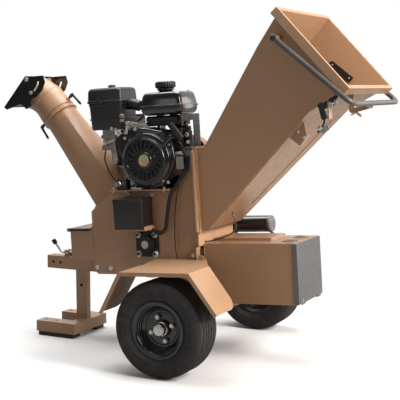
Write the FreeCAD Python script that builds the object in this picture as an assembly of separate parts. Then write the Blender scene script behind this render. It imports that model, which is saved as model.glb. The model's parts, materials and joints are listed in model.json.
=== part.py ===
import FreeCAD, Part
import math
import os
from FreeCAD import Vector

# Towable wood chipper on two wheels and a drop stand.  Millimetres, +Z up.
# Origin: on the ground, midway between the two wheels, under the axle.
# +X points to the infeed hopper, -X to the drawbar, -Y is the operator's (near) side.
# The drawbar, the stand and the ground are level.  The machine body is pitched
# nose-down about the axle by BODY_PITCH, so body parts are drawn in an upright
# body frame with the axle at (0, 0, AXLE_Z) and are then tilted as one.

# ---- driving dimensions ------------------------------------------------------
BODY_PITCH = 3.75
AXLE_Z = 200.0
TRACK = 960.0

TYRE_R = 200.0
TYRE_W = 165.0
BEAD_R = 101.5
RIM_FLANGE_R = 118.0
LUG_PCD = 100.0
LUG_COUNT = 4
LUG_START = 69.3
STUB_R = 20.0
RUN_GAP = 0.05

PLATE_Y = 170.0          # outer face of each side plate
PLATE_T = 6.0
SHEET = 3.0

FENDER_TOP, FENDER_LOW = 433.0, 266.0
FENDER_FOLD, FENDER_FLAP = 159.0, 262.0
FENDER_Y0, FENDER_Y1 = 378.0, 562.0
FENDER_LIP = 16.0
FENDER_REAR_FLAP, FENDER_REAR_LOW = 272.0, 270.0
FENDER_CORNER_R = 55.0
WEB_THICK, WEB_TAB = 8.0, 60.0
TRAY_X0, TRAY_X1, TRAY_Y, TRAY_Z = -350.0, -194.0, -264.0, 562.0
TRAY_THICK, TRAY_LIP = 6.0, 18.0

DRUM_X, DRUM_Z = -234.0, 494.0
DRUM_R = 125.0
DRUM_HALF = 155.0
DRUM_SHAFT_R = 17.5
KNIFE_TURN = 40.0
CASING_R = 150.0
BEARING_SIDE = 108.0
BEARING_BOLTS = 83.0

DECK_Z = 735.0
DECK_X0, DECK_X1 = -400.0, -100.0
DECK_Y = 205.0
REAR_X = 14.0            # rear edge of the side plates
FEED_TOP = 832.0
FEED_BOTTOM = 548.0
ROOF_TOP = 899.0

ROLLER_X, ROLLER_Z = -38.0, 505.0
ROLLER_R = 42.0
ROLLER_SHAFT_R = 12.5
MOTOR_Y, MOTOR_Z = 208.0, 536.0
MOTOR_R = 39.0

CRANK_X, CRANK_Z = -195.0, 862.0
CRANK_R = 16.0
CYLINDER_LEAN = 10.0
TANK_X0, TANK_X1 = -235.0, -32.0
TANK_Y0, TANK_Y1 = -176.0, 0.0
TANK_Z0, TANK_Z1 = 1050.0, 1150.0
CAP_X, CAP_Y = -149.0, -82.0
CAP_R = 45.0
SEAM_Z = 1090.0
TANK_LEAN = 12.0
PULLEY_Y0, PULLEY_Y1 = 210.0, 245.0
ENGINE_PULLEY_R = 65.0
DRUM_PULLEY_R = 100.0
GROOVE_DEPTH = 11.0
GROOVE_W = 13.0

HINGE_X, HINGE_Y = 21.0, -194.0
HINGE_Z0, HINGE_Z1 = 548.0, 892.0
FLANGE_FAR = 167.0        # far flanges stop short of the feed motor
THROAT_X = 62.0
THROAT_HALF = 165.0
THROAT_Z0, THROAT_Z1 = 556.0, 905.0
KINK_X, KINK_Z, KINK_HALF = 567.0, 1026.0, 245.0
MOUTH_X, MOUTH_Z = 614.0, 1275.0
MOUTH_TILT = 50.0
MOUTH_W, MOUTH_L = 591.0, 436.0
RIM_DEPTH = 35.0
RIM_LIP = 14.0
BAR_X, BAR_Z, BAR_Y = 464.0, 1321.0, 311.0
BAR_END_X, BAR_END_Z = 768.0, 1048.0
BAR_R = 11.0

CHUTE_FOOT = Vector(-517, 0, 640)
CHUTE_HEAD = Vector(-396, 0, 735)
CHUTE_LEN = 527.0
CHUTE_BASE = (140.0, 240.0)
CHUTE_TOP_R = 80.0
ELBOW_R = 76.0
PIVOT_X, PIVOT_Z = -873.0, 1254.0
CHEEK_Y = 92.0
SLOT_R = 66.0
SLOT_SPAN = (-12.0, -92.0)
STUD_ANGLE = -72.0

THROTTLE_X, THROTTLE_Z = -290.0, 985.0
LID_HINGE_X, LID_HINGE_Z = -525.5, 566.5

BOX_X0, BOX_X1 = 22.0, 441.0
BOX_HALF = 137.0
BOX_Z0, BOX_Z1 = 234.0, 490.0

BAR_TOP, BAR_BOTTOM = 362.5, 302.5      # drawbar, level with the ground
DRAWBAR_X0, DRAWBAR_X1 = -884.0, -398.0
DRAWBAR_HALF = 30.0
COUPLER_X = (-850.0, -810.0)
COUPLER_HOLE_R = 6.5
POST_X0, POST_X1 = -733.0, -673.0
POST_HALF = 15.0
POST_TOP = 470.0
FOOT_TOP, FOOT_BOTTOM = 70.0, 20.0
HOLE_Z, HOLE_STEP = 230.0, 102.5

Y_AXIS = Vector(0, 1, 0)
Z_AXIS = Vector(0, 0, 1)


# ---- small helpers -----------------------------------------------------------
def box(x0, x1, y0, y1, z0, z1):
    return Part.makeBox(x1 - x0, y1 - y0, z1 - z0, Vector(x0, y0, z0))


def rod(p0, p1, r):
    p0, p1 = Vector(p0), Vector(p1)
    return Part.makeCylinder(r, (p1 - p0).Length, p0, p1 - p0)


def y_rod(x, z, y0, y1, r):
    return rod((x, y0, z), (x, y1, z), r)


def face(points):
    pts = [Vector(p) for p in points]
    return Part.Face(Part.makePolygon(pts + [pts[0]]))


def prism_y(xz, y0, y1):
    return face([(x, y0, z) for x, z in xz]).extrude(Vector(0, y1 - y0, 0))


def prism_z(xy, z0, z1):
    return face([(x, y, z0) for x, y in xy]).extrude(Vector(0, 0, z1 - z0))


def join(*shapes):
    body = shapes[0]
    for shape in shapes[1:]:
        body = body.fuse(shape)
    return body.removeSplitter()


def group(*shapes):
    return Part.makeCompound(list(shapes))


def round_edges(shape, radius, pick):
    edges = [e for e in shape.Edges if pick(e)]
    return shape.makeFillet(radius, edges) if edges else shape


def along(edge, axis):
    ends = [v.Point for v in edge.Vertexes]
    if len(ends) != 2:
        return False
    d = ends[1] - ends[0]
    return d.Length > 1 and abs(d.dot(axis)) > 0.999 * d.Length


def tilt(shape):
    """Turn a shape drawn in the upright body frame to the machine's pitch."""
    out = shape.copy()
    out.rotate(Vector(0, 0, AXLE_Z), Y_AXIS, -BODY_PITCH)
    return out


def untilt(shape):
    """Bring a level shape into the body frame, so it can join body parts."""
    out = shape.copy()
    out.rotate(Vector(0, 0, AXLE_Z), Y_AXIS, BODY_PITCH)
    return out


def strip(path, thick, y0, y1):
    """Bent sheet: an XZ path thickened by `thick` on its left, widened in Y."""
    left, n = [], len(path)
    for i, (x, z) in enumerate(path):
        dirs = []
        if i > 0:
            dirs.append((x - path[i - 1][0], z - path[i - 1][1]))
        if i < n - 1:
            dirs.append((path[i + 1][0] - x, path[i + 1][1] - z))
        units = [(dx / math.hypot(dx, dz), dz / math.hypot(dx, dz)) for dx, dz in dirs]
        nx = -sum(u[1] for u in units)
        nz = sum(u[0] for u in units)
        size = math.hypot(nx, nz)
        nx, nz = nx / size, nz / size
        spread = nx * -units[0][1] + nz * units[0][0]
        left.append((x + nx * thick / spread, z + nz * thick / spread))
    return prism_y(path + left[::-1], y0, y1)


def arc_points(cx, cz, r, a0, a1, count):
    steps = [a0 + (a1 - a0) * i / (count - 1) for i in range(count)]
    return [(cx + r * math.cos(math.radians(a)), cz + r * math.sin(math.radians(a)))
            for a in steps]


def ring(y0, y1, r_in, r_out):
    """A ring about the wheel axis, from outboard offset y0 to y1."""
    outer = Part.makeCylinder(r_out, y1 - y0, Vector(0, y0, 0), Y_AXIS)
    inner = Part.makeCylinder(r_in, y1 - y0, Vector(0, y0, 0), Y_AXIS)
    return outer.cut(inner)


def spun(profile):
    """Turn an (offset, radius) outline about the wheel axis."""
    outline = face([(0, u, r) for u, r in profile])
    return outline.revolve(Vector(0, 0, 0), Y_AXIS, 360)


def hex_prism(centre, axis, flats, height):
    corner = flats / math.sqrt(3)
    pts = [Vector(corner * math.cos(math.radians(60 * i)),
                  corner * math.sin(math.radians(60 * i)), 0) for i in range(7)]
    solid = Part.Face(Part.makePolygon(pts)).extrude(Vector(0, 0, height))
    solid.Placement = FreeCAD.Placement(Vector(centre), FreeCAD.Rotation(Z_AXIS, Vector(axis)))
    return solid


def bolt(head_at, axis, shank_r, shank_len, flats, head_h):
    """Hex bolt: the head stands out along axis, the shank runs the other way."""
    axis = Vector(axis)
    head_at = Vector(head_at)
    head = hex_prism(head_at, axis, flats, head_h)
    return join(head, rod(head_at, head_at - axis * shank_len, shank_r))


def loft(sections):
    """Flat-faced solid through flat sections that all have the same number of points."""
    faces = [face(sections[0]), face(sections[-1])]
    count = len(sections[0])
    for low, high in zip(sections, sections[1:]):
        for i in range(count):
            j = (i + 1) % count
            faces.append(face([low[i], low[j], high[j]]))
            faces.append(face([low[i], high[j], high[i]]))
    solid = Part.makeSolid(Part.makeShell(faces))
    return solid if solid.Volume > 0 else solid.reversed()


def set_wheel(shape, side):
    """Place a wheel part, drawn outboard along +Y, on the near or far side."""
    out = shape.copy()
    if side < 0:
        out.rotate(Vector(0, 0, 0), Z_AXIS, 180)
    out.translate(Vector(0, side * TRACK / 2, AXLE_Z))
    return out


# ---- running gear ------------------------------------------------------------
def axle():
    beam = box(-30, 30, -390, 390, AXLE_Z - 30, AXLE_Z + 30)
    beam = beam.cut(box(-25, 25, -376, 376, AXLE_Z - 25, AXLE_Z + 25))
    beam = beam.cut(y_up(0, 0, AXLE_Z - 31, AXLE_Z - 20, 6))
    parts = [beam]
    for side in (-1, 1):
        parts.append(y_rod(0, AXLE_Z, side * 388, side * 450, 27))
        parts.append(y_rod(0, AXLE_Z, side * 445, side * (TRACK / 2 + 42), STUB_R))
    return join(*parts)


def tyre():
    half = TYRE_W / 2
    crown, groove = TYRE_R, TYRE_R - 6
    tread = [(-62, crown - 4), (-48, crown - 1)]
    for centre in (-36, -12, 12, 36):
        tread += [(centre - 3, crown - 0.5), (centre - 3, groove),
                  (centre + 3, groove), (centre + 3, crown - 0.5)]
    tread += [(48, crown - 1), (62, crown - 4)]
    right = [(76, 189), (half, 168), (half, 146), (79, 128), (66, 119), (66, BEAD_R)]
    inner = [(50, BEAD_R), (54, 118), (68, 134), (70, 160), (62, 178), (0, 186)]
    left = [(-u, r) for u, r in reversed(right)]
    inner_left = [(-u, r) for u, r in reversed(inner[:-1])]
    return spun(left + tread + right + inner + inner_left)


def rim():
    flange = RIM_FLANGE_R
    shell = join(
        ring(67, 70.5, 98, flange), ring(28, 70, 98, BEAD_R), ring(25, 31, 86, BEAD_R),
        ring(-31, 31, 86, 89), ring(-31, -25, 86, BEAD_R), ring(-70, -28, 98, BEAD_R),
        ring(-70.5, -67, 98, flange), ring(24, 28, 35, 88), ring(20, 28, 66, 74))
    for x, z in lug_places():
        shell = shell.cut(rod((x, 20, z), (x, 32, z), 6.5))
    return shell


def lug_places():
    r = LUG_PCD / 2
    angles = [LUG_START + 360 / LUG_COUNT * i for i in range(LUG_COUNT)]
    return [(r * math.cos(math.radians(a)), r * math.sin(math.radians(a))) for a in angles]


def hub():
    bore = STUB_R + RUN_GAP
    solid = join(ring(-26, 40, bore, 34.9), ring(14, 24, bore, 62))
    for x, z in lug_places():
        solid = solid.cut(rod((x, 10, z), (x, 30, z), 6.2))
    return solid


def lug_nuts():
    nuts = []
    for x, z in lug_places():
        stud = rod((x, 10, z), (x, 46, z), 6)
        nuts.append(join(hex_prism((x, 28.1, z), Y_AXIS, 19, 13), stud))
    return group(*nuts)


def hub_cap():
    shell = spun([(40.1, 34), (40.1, 26), (60, 26), (60, 0), (66, 0), (64, 22), (60, 29), (46, 30),
                  (46, 34)])
    return shell


def fender_webs(side):
    """Plan outlines, in X and distance from the middle, of the plates that carry a fender."""
    inner, outer = PLATE_Y, FENDER_Y0 + 2
    if side < 0:
        return [[(-200, inner), (45, inner), (FENDER_FOLD - 1, outer), (1 - FENDER_FOLD, outer)]]
    return [[(x - 20, inner), (x + 20, inner), (x + 20, outer), (x - 20, outer)] for x in (-95, 95)]


def fender(side):
    """Folded steel mudguard: flat top, two sloping flaps, a turned-down outer lip and its webs."""
    top, low = FENDER_TOP, FENDER_LOW
    lo, hi = sorted((side * FENDER_Y1, side * FENDER_Y0))
    path = [(FENDER_REAR_FLAP, FENDER_REAR_LOW), (FENDER_FOLD, top), (-FENDER_FOLD, top), (-FENDER_FLAP, low)]
    sheet = strip(path, SHEET, lo, hi)
    inner = side * FENDER_Y0
    corners = [e for e in sheet.Edges if e.Length < 4 and e.BoundBox.ZMax < FENDER_REAR_LOW + 4
               and abs(e.BoundBox.YMax - inner) < 0.1 and abs(e.BoundBox.YMin - inner) < 0.1]
    sheet = sheet.makeFillet(FENDER_CORNER_R, corners)
    lip = strip(path, FENDER_LIP, *sorted((side * FENDER_Y1, side * (FENDER_Y1 - SHEET))))
    carriers = []
    for outline in fender_webs(side):
        web = prism_z([(x, side * y) for x, y in outline], top - WEB_THICK - SHEET, top - SHEET)
        x0, x1 = outline[0][0], outline[1][0]
        y0, y1 = sorted((side * PLATE_Y, side * (PLATE_Y + 6)))
        carriers += [web, box(x0, x1, y0, y1, top - WEB_TAB, top - SHEET)]
    return join(sheet, lip, *carriers)


# ---- housing -----------------------------------------------------------------
def plate_outline():
    return [(-502, 357), (CHUTE_FOOT.x, 374), (CHUTE_FOOT.x, CHUTE_FOOT.z), (CHUTE_HEAD.x, DECK_Z - 6),
            (DECK_X1, DECK_Z - 6), (8, FEED_TOP + 8), (REAR_X, ROOF_TOP), (REAR_X, 231),
            (-95, 231), (-150, 357)]


def bearing_holes():
    h = BEARING_BOLTS / 2
    return [(DRUM_X + i * h, DRUM_Z + k * h) for i in (-1, 1) for k in (-1, 1)]


def drawbar_holes():
    return [(-501, 388), (-431, 385)]


def side_plate(side):
    y0, y1 = sorted((side * PLATE_Y, side * (PLATE_Y - PLATE_T)))
    plate = prism_y(plate_outline(), y0, y1)
    plate = plate.cut(y_rod(DRUM_X, DRUM_Z, y0 - 1, y1 + 1, 32))
    for x, z in bearing_holes() + drawbar_holes():
        plate = plate.cut(y_rod(x, z, y0 - 1, y1 + 1, 6.5))
    if side > 0:
        plate = plate.cut(y_rod(ROLLER_X, ROLLER_Z, y0 - 1, y1 + 1, 26))
        return plate
    shelf = box(TRAY_X0, TRAY_X1, TRAY_Y, -PLATE_Y, TRAY_Z, TRAY_Z + TRAY_THICK)
    stop = box(TRAY_X1 - 4, TRAY_X1, TRAY_Y, -PLATE_Y, TRAY_Z, TRAY_Z + TRAY_LIP)
    return join(plate, shelf, stop)


def drum_casing():
    """Lower wall of the drum chamber, running on up to the chute."""
    wall = [(-515, 632)]
    wall += arc_points(DRUM_X, DRUM_Z, CASING_R, 216, 340, 22)
    edge = PLATE_Y - PLATE_T
    return strip(wall, 4, -edge, edge)


def feed_box():
    """Infeed throat: roof over roller and drum, floor strips, cheeks, rear frame."""
    edge = PLATE_Y - PLATE_T
    roof = [(REAR_X - 6, FEED_TOP), (-104, DECK_Z - 16)]
    roof += arc_points(DRUM_X, DRUM_Z, CASING_R, 64, 126, 9)
    roof.append((-404, DECK_Z - 12))
    top = strip(roof[::-1], 4, -edge, edge)
    cheek = [(-84, 452), (-8, 452), (REAR_X, 470), (REAR_X, FEED_TOP), (REAR_X - 6, FEED_TOP),
             (-104, DECK_Z - 16), (-160, 640)]
    cheeks = []
    for side in (-1, 1):
        y0, y1 = sorted((side * (edge - 4), side * edge))
        plate = prism_y(cheek, y0, y1)
        plate = plate.cut(y_rod(DRUM_X, DRUM_Z, y0 - 1, y1 + 1, DRUM_R + 6))
        cheeks.append(plate)
    frame = box(REAR_X, REAR_X + 6, -181, FLANGE_FAR, 485, ROOF_TOP + 6)
    frame = frame.cut(box(REAR_X - 1, REAR_X + 7, -edge + 4, edge - 4, FEED_BOTTOM, FEED_TOP))
    sill = box(REAR_X - 6, REAR_X, -edge, edge, FEED_BOTTOM - 6, FEED_BOTTOM)
    boss = y_rod(ROLLER_X, ROLLER_Z, -edge, -DRUM_HALF + 1, 24)
    body = join(top, frame, sill, boss, *cheeks)
    body = body.cut(y_rod(ROLLER_X, ROLLER_Z, -edge - 1, -DRUM_HALF + 2, ROLLER_SHAFT_R + RUN_GAP))
    return body.cut(y_rod(ROLLER_X, ROLLER_Z, edge - 5, edge + 1, 26))


def engine_deck():
    plate = box(DECK_X0, DECK_X1, -DECK_Y, DECK_Y, DECK_Z - 6, DECK_Z)
    plate = round_edges(plate, 8, lambda e: along(e, Z_AXIS))
    return plate.cut(box(DECK_X0 - 1, DECK_X0 + 22, -158, 158, DECK_Z - 7, DECK_Z + 1))


def front_box():
    outer = box(-637, -517, -PLATE_Y, PLATE_Y, 422, 561)
    return outer.cut(box(-634, -523, -PLATE_Y + 3, PLATE_Y - 3, 425, 570))


def front_lid():
    lid = box(-640.5, -528, -PLATE_Y - 2, PLATE_Y + 2, 561.5, 564.5)
    lip = box(-640.5, -638, -PLATE_Y - 2, PLATE_Y + 2, 548, 564.5)
    knob = join(rod((-650, -PLATE_Y + 8, 556), (-639, -PLATE_Y + 8, 556), 5),
                Part.makeSphere(9, Vector(-651, -PLATE_Y + 8, 556)))
    barrel = y_rod(LID_HINGE_X, LID_HINGE_Z, -160, 160, 4)
    leaf = box(-534, -526, -160, 160, 562, 567)
    return join(lid, lip, knob, leaf, barrel)


# ---- drum --------------------------------------------------------------------
def drum_rotor():
    """Hollow knife drum on end discs, welded to its through shaft."""
    skin_r = DRUM_R - 12
    core = y_rod(DRUM_X, DRUM_Z, -DRUM_HALF, DRUM_HALF, skin_r)
    core = core.cut(y_rod(DRUM_X, DRUM_Z, -DRUM_HALF + 12, DRUM_HALF - 12, skin_r - 14))
    hole = y_rod(DRUM_X, DRUM_Z + 62, -DRUM_HALF - 1, DRUM_HALF + 1, 18)
    seat = box(DRUM_X + 52, DRUM_X + skin_r - 1, -DRUM_HALF, DRUM_HALF, DRUM_Z - 26, DRUM_Z)
    pocket = box(DRUM_X + 60, DRUM_X + DRUM_R, -DRUM_HALF - 1, DRUM_HALF + 1, DRUM_Z, DRUM_Z + 34)
    for turn in (0, 180):
        added, cutter, light = seat.copy(), pocket.copy(), hole.copy()
        for shape in (added, cutter, light):
            shape.rotate(Vector(DRUM_X, 0, DRUM_Z), Y_AXIS, turn + KNIFE_TURN)
        core = core.fuse(added).cut(cutter).cut(light)
    return join(core, y_rod(DRUM_X, DRUM_Z, -202, PULLEY_Y1 + 4, DRUM_SHAFT_R))


def drum_knives():
    blade = box(DRUM_X + 62, DRUM_X + DRUM_R - 3, -DRUM_HALF + 5, DRUM_HALF - 5, DRUM_Z, DRUM_Z + 12)
    edge = prism_y([(DRUM_X + DRUM_R - 20, DRUM_Z + 12.1), (DRUM_X + DRUM_R, DRUM_Z + 3),
                    (DRUM_X + DRUM_R, DRUM_Z + 20)], -DRUM_HALF, DRUM_HALF)
    blade = blade.cut(edge)
    knives = []
    for turn in (0, 180):
        knife = blade.copy()
        knife.rotate(Vector(DRUM_X, 0, DRUM_Z), Y_AXIS, turn + KNIFE_TURN)
        knives.append(knife)
    return group(*knives)


def drum_bearings():
    housings = []
    for side in (-1, 1):
        h = BEARING_SIDE / 2
        y0, y1 = sorted((side * PLATE_Y, side * (PLATE_Y + 13)))
        flange = box(DRUM_X - h, DRUM_X + h, y0, y1, DRUM_Z - h, DRUM_Z + h)
        flange = round_edges(flange, 16, lambda e: along(e, Y_AXIS))
        boss = y_rod(DRUM_X, DRUM_Z, side * PLATE_Y, side * (PLATE_Y + 32), 38)
        body = join(flange, boss)
        body = body.cut(y_rod(DRUM_X, DRUM_Z, side * (PLATE_Y - 1), side * (PLATE_Y + 40),
                              DRUM_SHAFT_R + RUN_GAP))
        for x, z in bearing_holes():
            body = body.cut(y_rod(x, z, y0 - 1, y1 + 1, 6.5))
        housings.append(body)
    return group(*housings)


def frame_bolts():
    bolts = []
    for side in (-1, 1):
        for x, z in bearing_holes():
            head = (x, side * (PLATE_Y + 13), z)
            bolts.append(bolt(head, (0, side, 0), 6, 26, 19, 8))
        for x, z in drawbar_holes():
            head = (x, side * PLATE_Y, z)
            bolts.append(bolt(head, (0, side, 0), 6, 24, 19, 8))
    return group(*bolts)


def bed_knife():
    edge = PLATE_Y - PLATE_T - 4
    outline = [(-106.5, 496), (-85, 496), (-85, 455), (-93, 455)]
    return prism_y(outline, -edge, edge)


# ---- powered feed ------------------------------------------------------------
def feed_roller():
    body = y_rod(ROLLER_X, ROLLER_Z, -148, 148, ROLLER_R - 5)
    teeth = []
    for i in range(10):
        rib = box(ROLLER_X - 3, ROLLER_X + 3, -148, 148, ROLLER_Z + ROLLER_R - 10, ROLLER_Z + ROLLER_R)
        rib.rotate(Vector(ROLLER_X, 0, ROLLER_Z), Y_AXIS, 36 * i)
        teeth.append(rib)
    shaft = y_rod(ROLLER_X, ROLLER_Z, -163, 226, ROLLER_SHAFT_R)
    return join(body, shaft, *teeth)


def feed_gearbox():
    """Right-angle worm box on the far side plate."""
    y0, y1 = PLATE_Y, 236.0
    case = box(-84, 10, y0 + 8, y1, 462, 582)
    case = round_edges(case, 14, lambda e: along(e, Y_AXIS))
    flange = y_rod(ROLLER_X, ROLLER_Z, y0, y0 + 8, 48)
    nose = rod((8, MOTOR_Y, MOTOR_Z), (18, MOTOR_Y, MOTOR_Z), 36)
    body = join(case, flange, nose)
    return body.cut(y_rod(ROLLER_X, ROLLER_Z, y0 - 1, 229, ROLLER_SHAFT_R + RUN_GAP))


def feed_motor():
    can = rod((18, MOTOR_Y, MOTOR_Z), (186, MOTOR_Y, MOTOR_Z), MOTOR_R)
    cap = rod((186, MOTOR_Y, MOTOR_Z), (201, MOTOR_Y, MOTOR_Z), MOTOR_R - 2)
    return group(can, round_edges(cap, 6, lambda e: e.BoundBox.XMin > 200))


# ---- engine ------------------------------------------------------------------
def engine_block():
    """Crankcase on its feet, with the cylinder leaning towards the drawbar."""
    case = box(-300, -95, -105, 120, DECK_Z + 12, 955)
    case = round_edges(case, 22, lambda e: along(e, Y_AXIS))
    feet = box(-290, -105, -104, 125, DECK_Z, DECK_Z + 14)
    cylinder = box(-460, -250, -12, 108, 800, 925)
    fins = [box(-405 + 22 * i, -397 + 22 * i, -20, 116, 785, 940) for i in range(6)]
    head = box(-478, -440, -8, 104, 812, 915)
    top_end = join(cylinder, head, *fins)
    top_end.rotate(Vector(-250, 0, 860), Y_AXIS, CYLINDER_LEAN)
    nose = y_rod(CRANK_X, CRANK_Z, 118, 150, 55)
    legs = [box(x, x + 26, y, y + 30, 950, TANK_Z0) for x, y in ((-225, -40), (-130, -95))]
    front = TANK_X1 - 2
    bracket = [box(front - 4, front, -57, 0, 894, TANK_Z0), box(front - 4, front, -176, 0, 1022, TANK_Z0),
               box(front - 4, front, -176, -150, 1000, TANK_Z0), box(-96, front, -57, 0, 894, 898)]
    body = join(case, feet, nose, top_end, *legs, *bracket)
    return body.cut(y_rod(CRANK_X, CRANK_Z, 100, 160, CRANK_R + RUN_GAP))


def shroud_outline():
    return [(-265, 742), (-135, 742), (-95, 790), (-62, 850), (-72, 925), (-120, 985), (-200, 1002),
            (-300, 1000), (-352, 960), (-340, 905), (-312, 830)]


def fan_shroud():
    shell = prism_y(shroud_outline(), -200, -106)
    shell = round_edges(shell, 14, lambda e: e.BoundBox.YMax < -199)
    cx, cz, k = -205, 878, 0.965
    inside = [(cx + (x - cx) * k, cz + (z - cz) * k) for x, z in shroud_outline()]
    hollow = prism_y(inside, -194, -105)
    air_hole = y_rod(CRANK_X, CRANK_Z, -201, -190, 96)
    return shell.cut(hollow).cut(air_hole)


def recoil_starter():
    cover = spun([(-230, 0), (-230, 34), (-224, 38), (-224, 102), (-219, 113), (-211, 118),
                  (-200, 118), (-200, 122), (-212, 122), (-222, 116), (-227, 104), (-227, 40),
                  (-233, 36), (-233, 0)])
    cover.translate(Vector(CRANK_X, 0, CRANK_Z))
    neck = rod((-100, -213, 930), (-62, -213, 962), 13)
    return cover.fuse(neck)


def starter_grip():
    start, way = Vector(-60.5, -213, 963), Vector(33, 0, 27).normalize()
    cord = rod(start, start + way * 12, 2.5)
    bar = Part.makeBox(26, 24, 80, Vector(-13, -12, -40))
    bar = round_edges(bar, 10, lambda e: along(e, Z_AXIS))
    bar.rotate(Vector(0, 0, 0), Y_AXIS, -39)
    bar.translate(start + way * 24)
    return join(cord, bar)


def air_filter():
    base = box(-486, -317, -190, -44, 1000, 1126)
    base = round_edges(base, 16, lambda e: along(e, Z_AXIS))
    lid = box(-492, -311, -196, -38, 1126, 1184)
    lid = round_edges(lid, 14, lambda e: along(e, Z_AXIS) or e.BoundBox.ZMin > 1183)
    nut = y_up(-410, -110, 1184, 1198, 12)
    snorkel = box(-318, -262, -130, -60, 1080, 1140)
    snorkel = round_edges(snorkel, 10, lambda e: along(e, Z_AXIS))
    chamber = box(-482, -321, -186, -48, 1004, 1180)
    return join(base, lid, nut, snorkel).cut(chamber)


def y_up(x, y, z0, z1, r):
    return rod((x, y, z0), (x, y, z1), r)


def carburettor():
    """Body under the air filter, with its float bowl and the inlet pipe to the head."""
    body = box(-450, -362, -170, -105, 908, 985)
    neck = box(-430, -375, -160, -115, 985, 999.8)
    bowl = y_up(-386, -138, 858, 908, 22)
    inlet = rod((-395, -106, 935), (-395, -21, 935), 13)
    return join(body, neck, bowl, inlet)


def throttle_lever():
    x, z = THROTTLE_X, THROTTLE_Z
    pin = y_rod(x, z, -218, -200.5, 4)
    plate = prism_y([(x - 8, z - 8), (x + 8, z - 8), (x + 22, z + 38), (x + 10, z + 44)], -210, -206)
    grip = y_rod(x + 16, z + 40, -224, -203, 7)
    return join(pin, plate, grip)


def fuel_tank():
    """Tank with bevelled sides above its seam and a filler neck."""
    x0, x1, y0, y1 = TANK_X0, TANK_X1, TANK_Y0, TANK_Y1
    wall = 3
    lower = box(x0, x1, y0, y1, TANK_Z0, SEAM_Z)
    lower = round_edges(lower, 20, lambda e: along(e, Z_AXIS) or e.BoundBox.ZMax < TANK_Z0 + 1)
    upper = loft([tank_section(0, SEAM_Z), tank_section(TANK_LEAN, TANK_Z1)])
    seam = box(x0 - 4, x1 + 4, y0 - 4, y1 + 4, SEAM_Z - 3, SEAM_Z + 3)
    seam = round_edges(seam, 20, lambda e: along(e, Z_AXIS))
    neck = y_up(CAP_X, CAP_Y, TANK_Z1 - 2, TANK_Z1 + 6, 27)
    inside = box(x0 + wall, x1 - wall, y0 + wall, y1 - wall, TANK_Z0 + wall, SEAM_Z)
    inside = round_edges(inside, 17, lambda e: along(e, Z_AXIS) or e.BoundBox.ZMax < TANK_Z0 + wall + 1)
    room = loft([tank_section(wall, SEAM_Z - 1), tank_section(TANK_LEAN + wall, TANK_Z1 - wall)])
    body = join(lower, upper, seam, neck).cut(inside).cut(room)
    return body.cut(y_up(CAP_X, CAP_Y, TANK_Z1 - 10, TANK_Z1 + 8, 19))


def tank_section(inset, z):
    """Tank outline with cut corners at height z, drawn in by inset."""
    x0, x1, y0, y1 = TANK_X0 + inset, TANK_X1 - inset, TANK_Y0 + inset, TANK_Y1 - inset
    cut = 14
    return [Vector(x, y, z) for x, y in (
        (x0 + cut, y0), (x1 - cut, y0), (x1, y0 + cut), (x1, y1 - cut),
        (x1 - cut, y1), (x0 + cut, y1), (x0, y1 - cut), (x0, y0 + cut))]


def fuel_cap():
    rest = TANK_Z1 + 6.2
    cap = join(y_up(CAP_X, CAP_Y, rest, rest + 12, CAP_R - 10),
               y_up(CAP_X, CAP_Y, rest + 12, rest + 36, CAP_R),
               y_up(CAP_X, CAP_Y, rest + 36, rest + 40, CAP_R - 6))
    plug = y_up(CAP_X, CAP_Y, rest - 14, rest + 1, 18.5)
    return join(cap, plug)


def muffler():
    """Box silencer above the cylinder, behind the air filter."""
    can = box(-500, -372, -20, 118, 982, 1064)
    can = round_edges(can, 20, lambda e: along(e, Y_AXIS))
    outlet = rod((-440, 112, 1024), (-440, 150, 1024), 14)
    hollow = box(-497, -375, -17, 115, 985, 1061)
    return join(can, outlet).cut(hollow).cut(rod((-440, 100, 1024), (-440, 151, 1024), 12))


def groove_ring(x, z, y, r):
    outer = y_rod(x, z, y - GROOVE_W / 2, y + GROOVE_W / 2, r + 1)
    return outer.cut(y_rod(x, z, y - GROOVE_W, y + GROOVE_W, r - GROOVE_DEPTH))


def belt_planes():
    return [PULLEY_Y0 + 9.5, PULLEY_Y1 - 9.5]


def engine_pulley():
    """Two-groove pulley with the engine's output shaft it is keyed to."""
    wheel = y_rod(CRANK_X, CRANK_Z, PULLEY_Y0, PULLEY_Y1, ENGINE_PULLEY_R)
    for y in belt_planes():
        wheel = wheel.cut(groove_ring(CRANK_X, CRANK_Z, y, ENGINE_PULLEY_R))
    return join(wheel, y_rod(CRANK_X, CRANK_Z, 102, PULLEY_Y1 + 3, CRANK_R))


def drum_pulley():
    wheel = y_rod(DRUM_X, DRUM_Z, PULLEY_Y0, PULLEY_Y1, DRUM_PULLEY_R)
    wheel = wheel.cut(y_rod(DRUM_X, DRUM_Z, PULLEY_Y0 - 1, PULLEY_Y1 + 1, DRUM_SHAFT_R))
    for y in belt_planes():
        wheel = wheel.cut(groove_ring(DRUM_X, DRUM_Z, y, DRUM_PULLEY_R))
    for i in range(5):
        a = math.radians(72 * i + 18)
        x, z = DRUM_X + 55 * math.cos(a), DRUM_Z + 55 * math.sin(a)
        wheel = wheel.cut(y_rod(x, z, PULLEY_Y0 - 1, PULLEY_Y1 + 1, 16))
    return wheel


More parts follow.
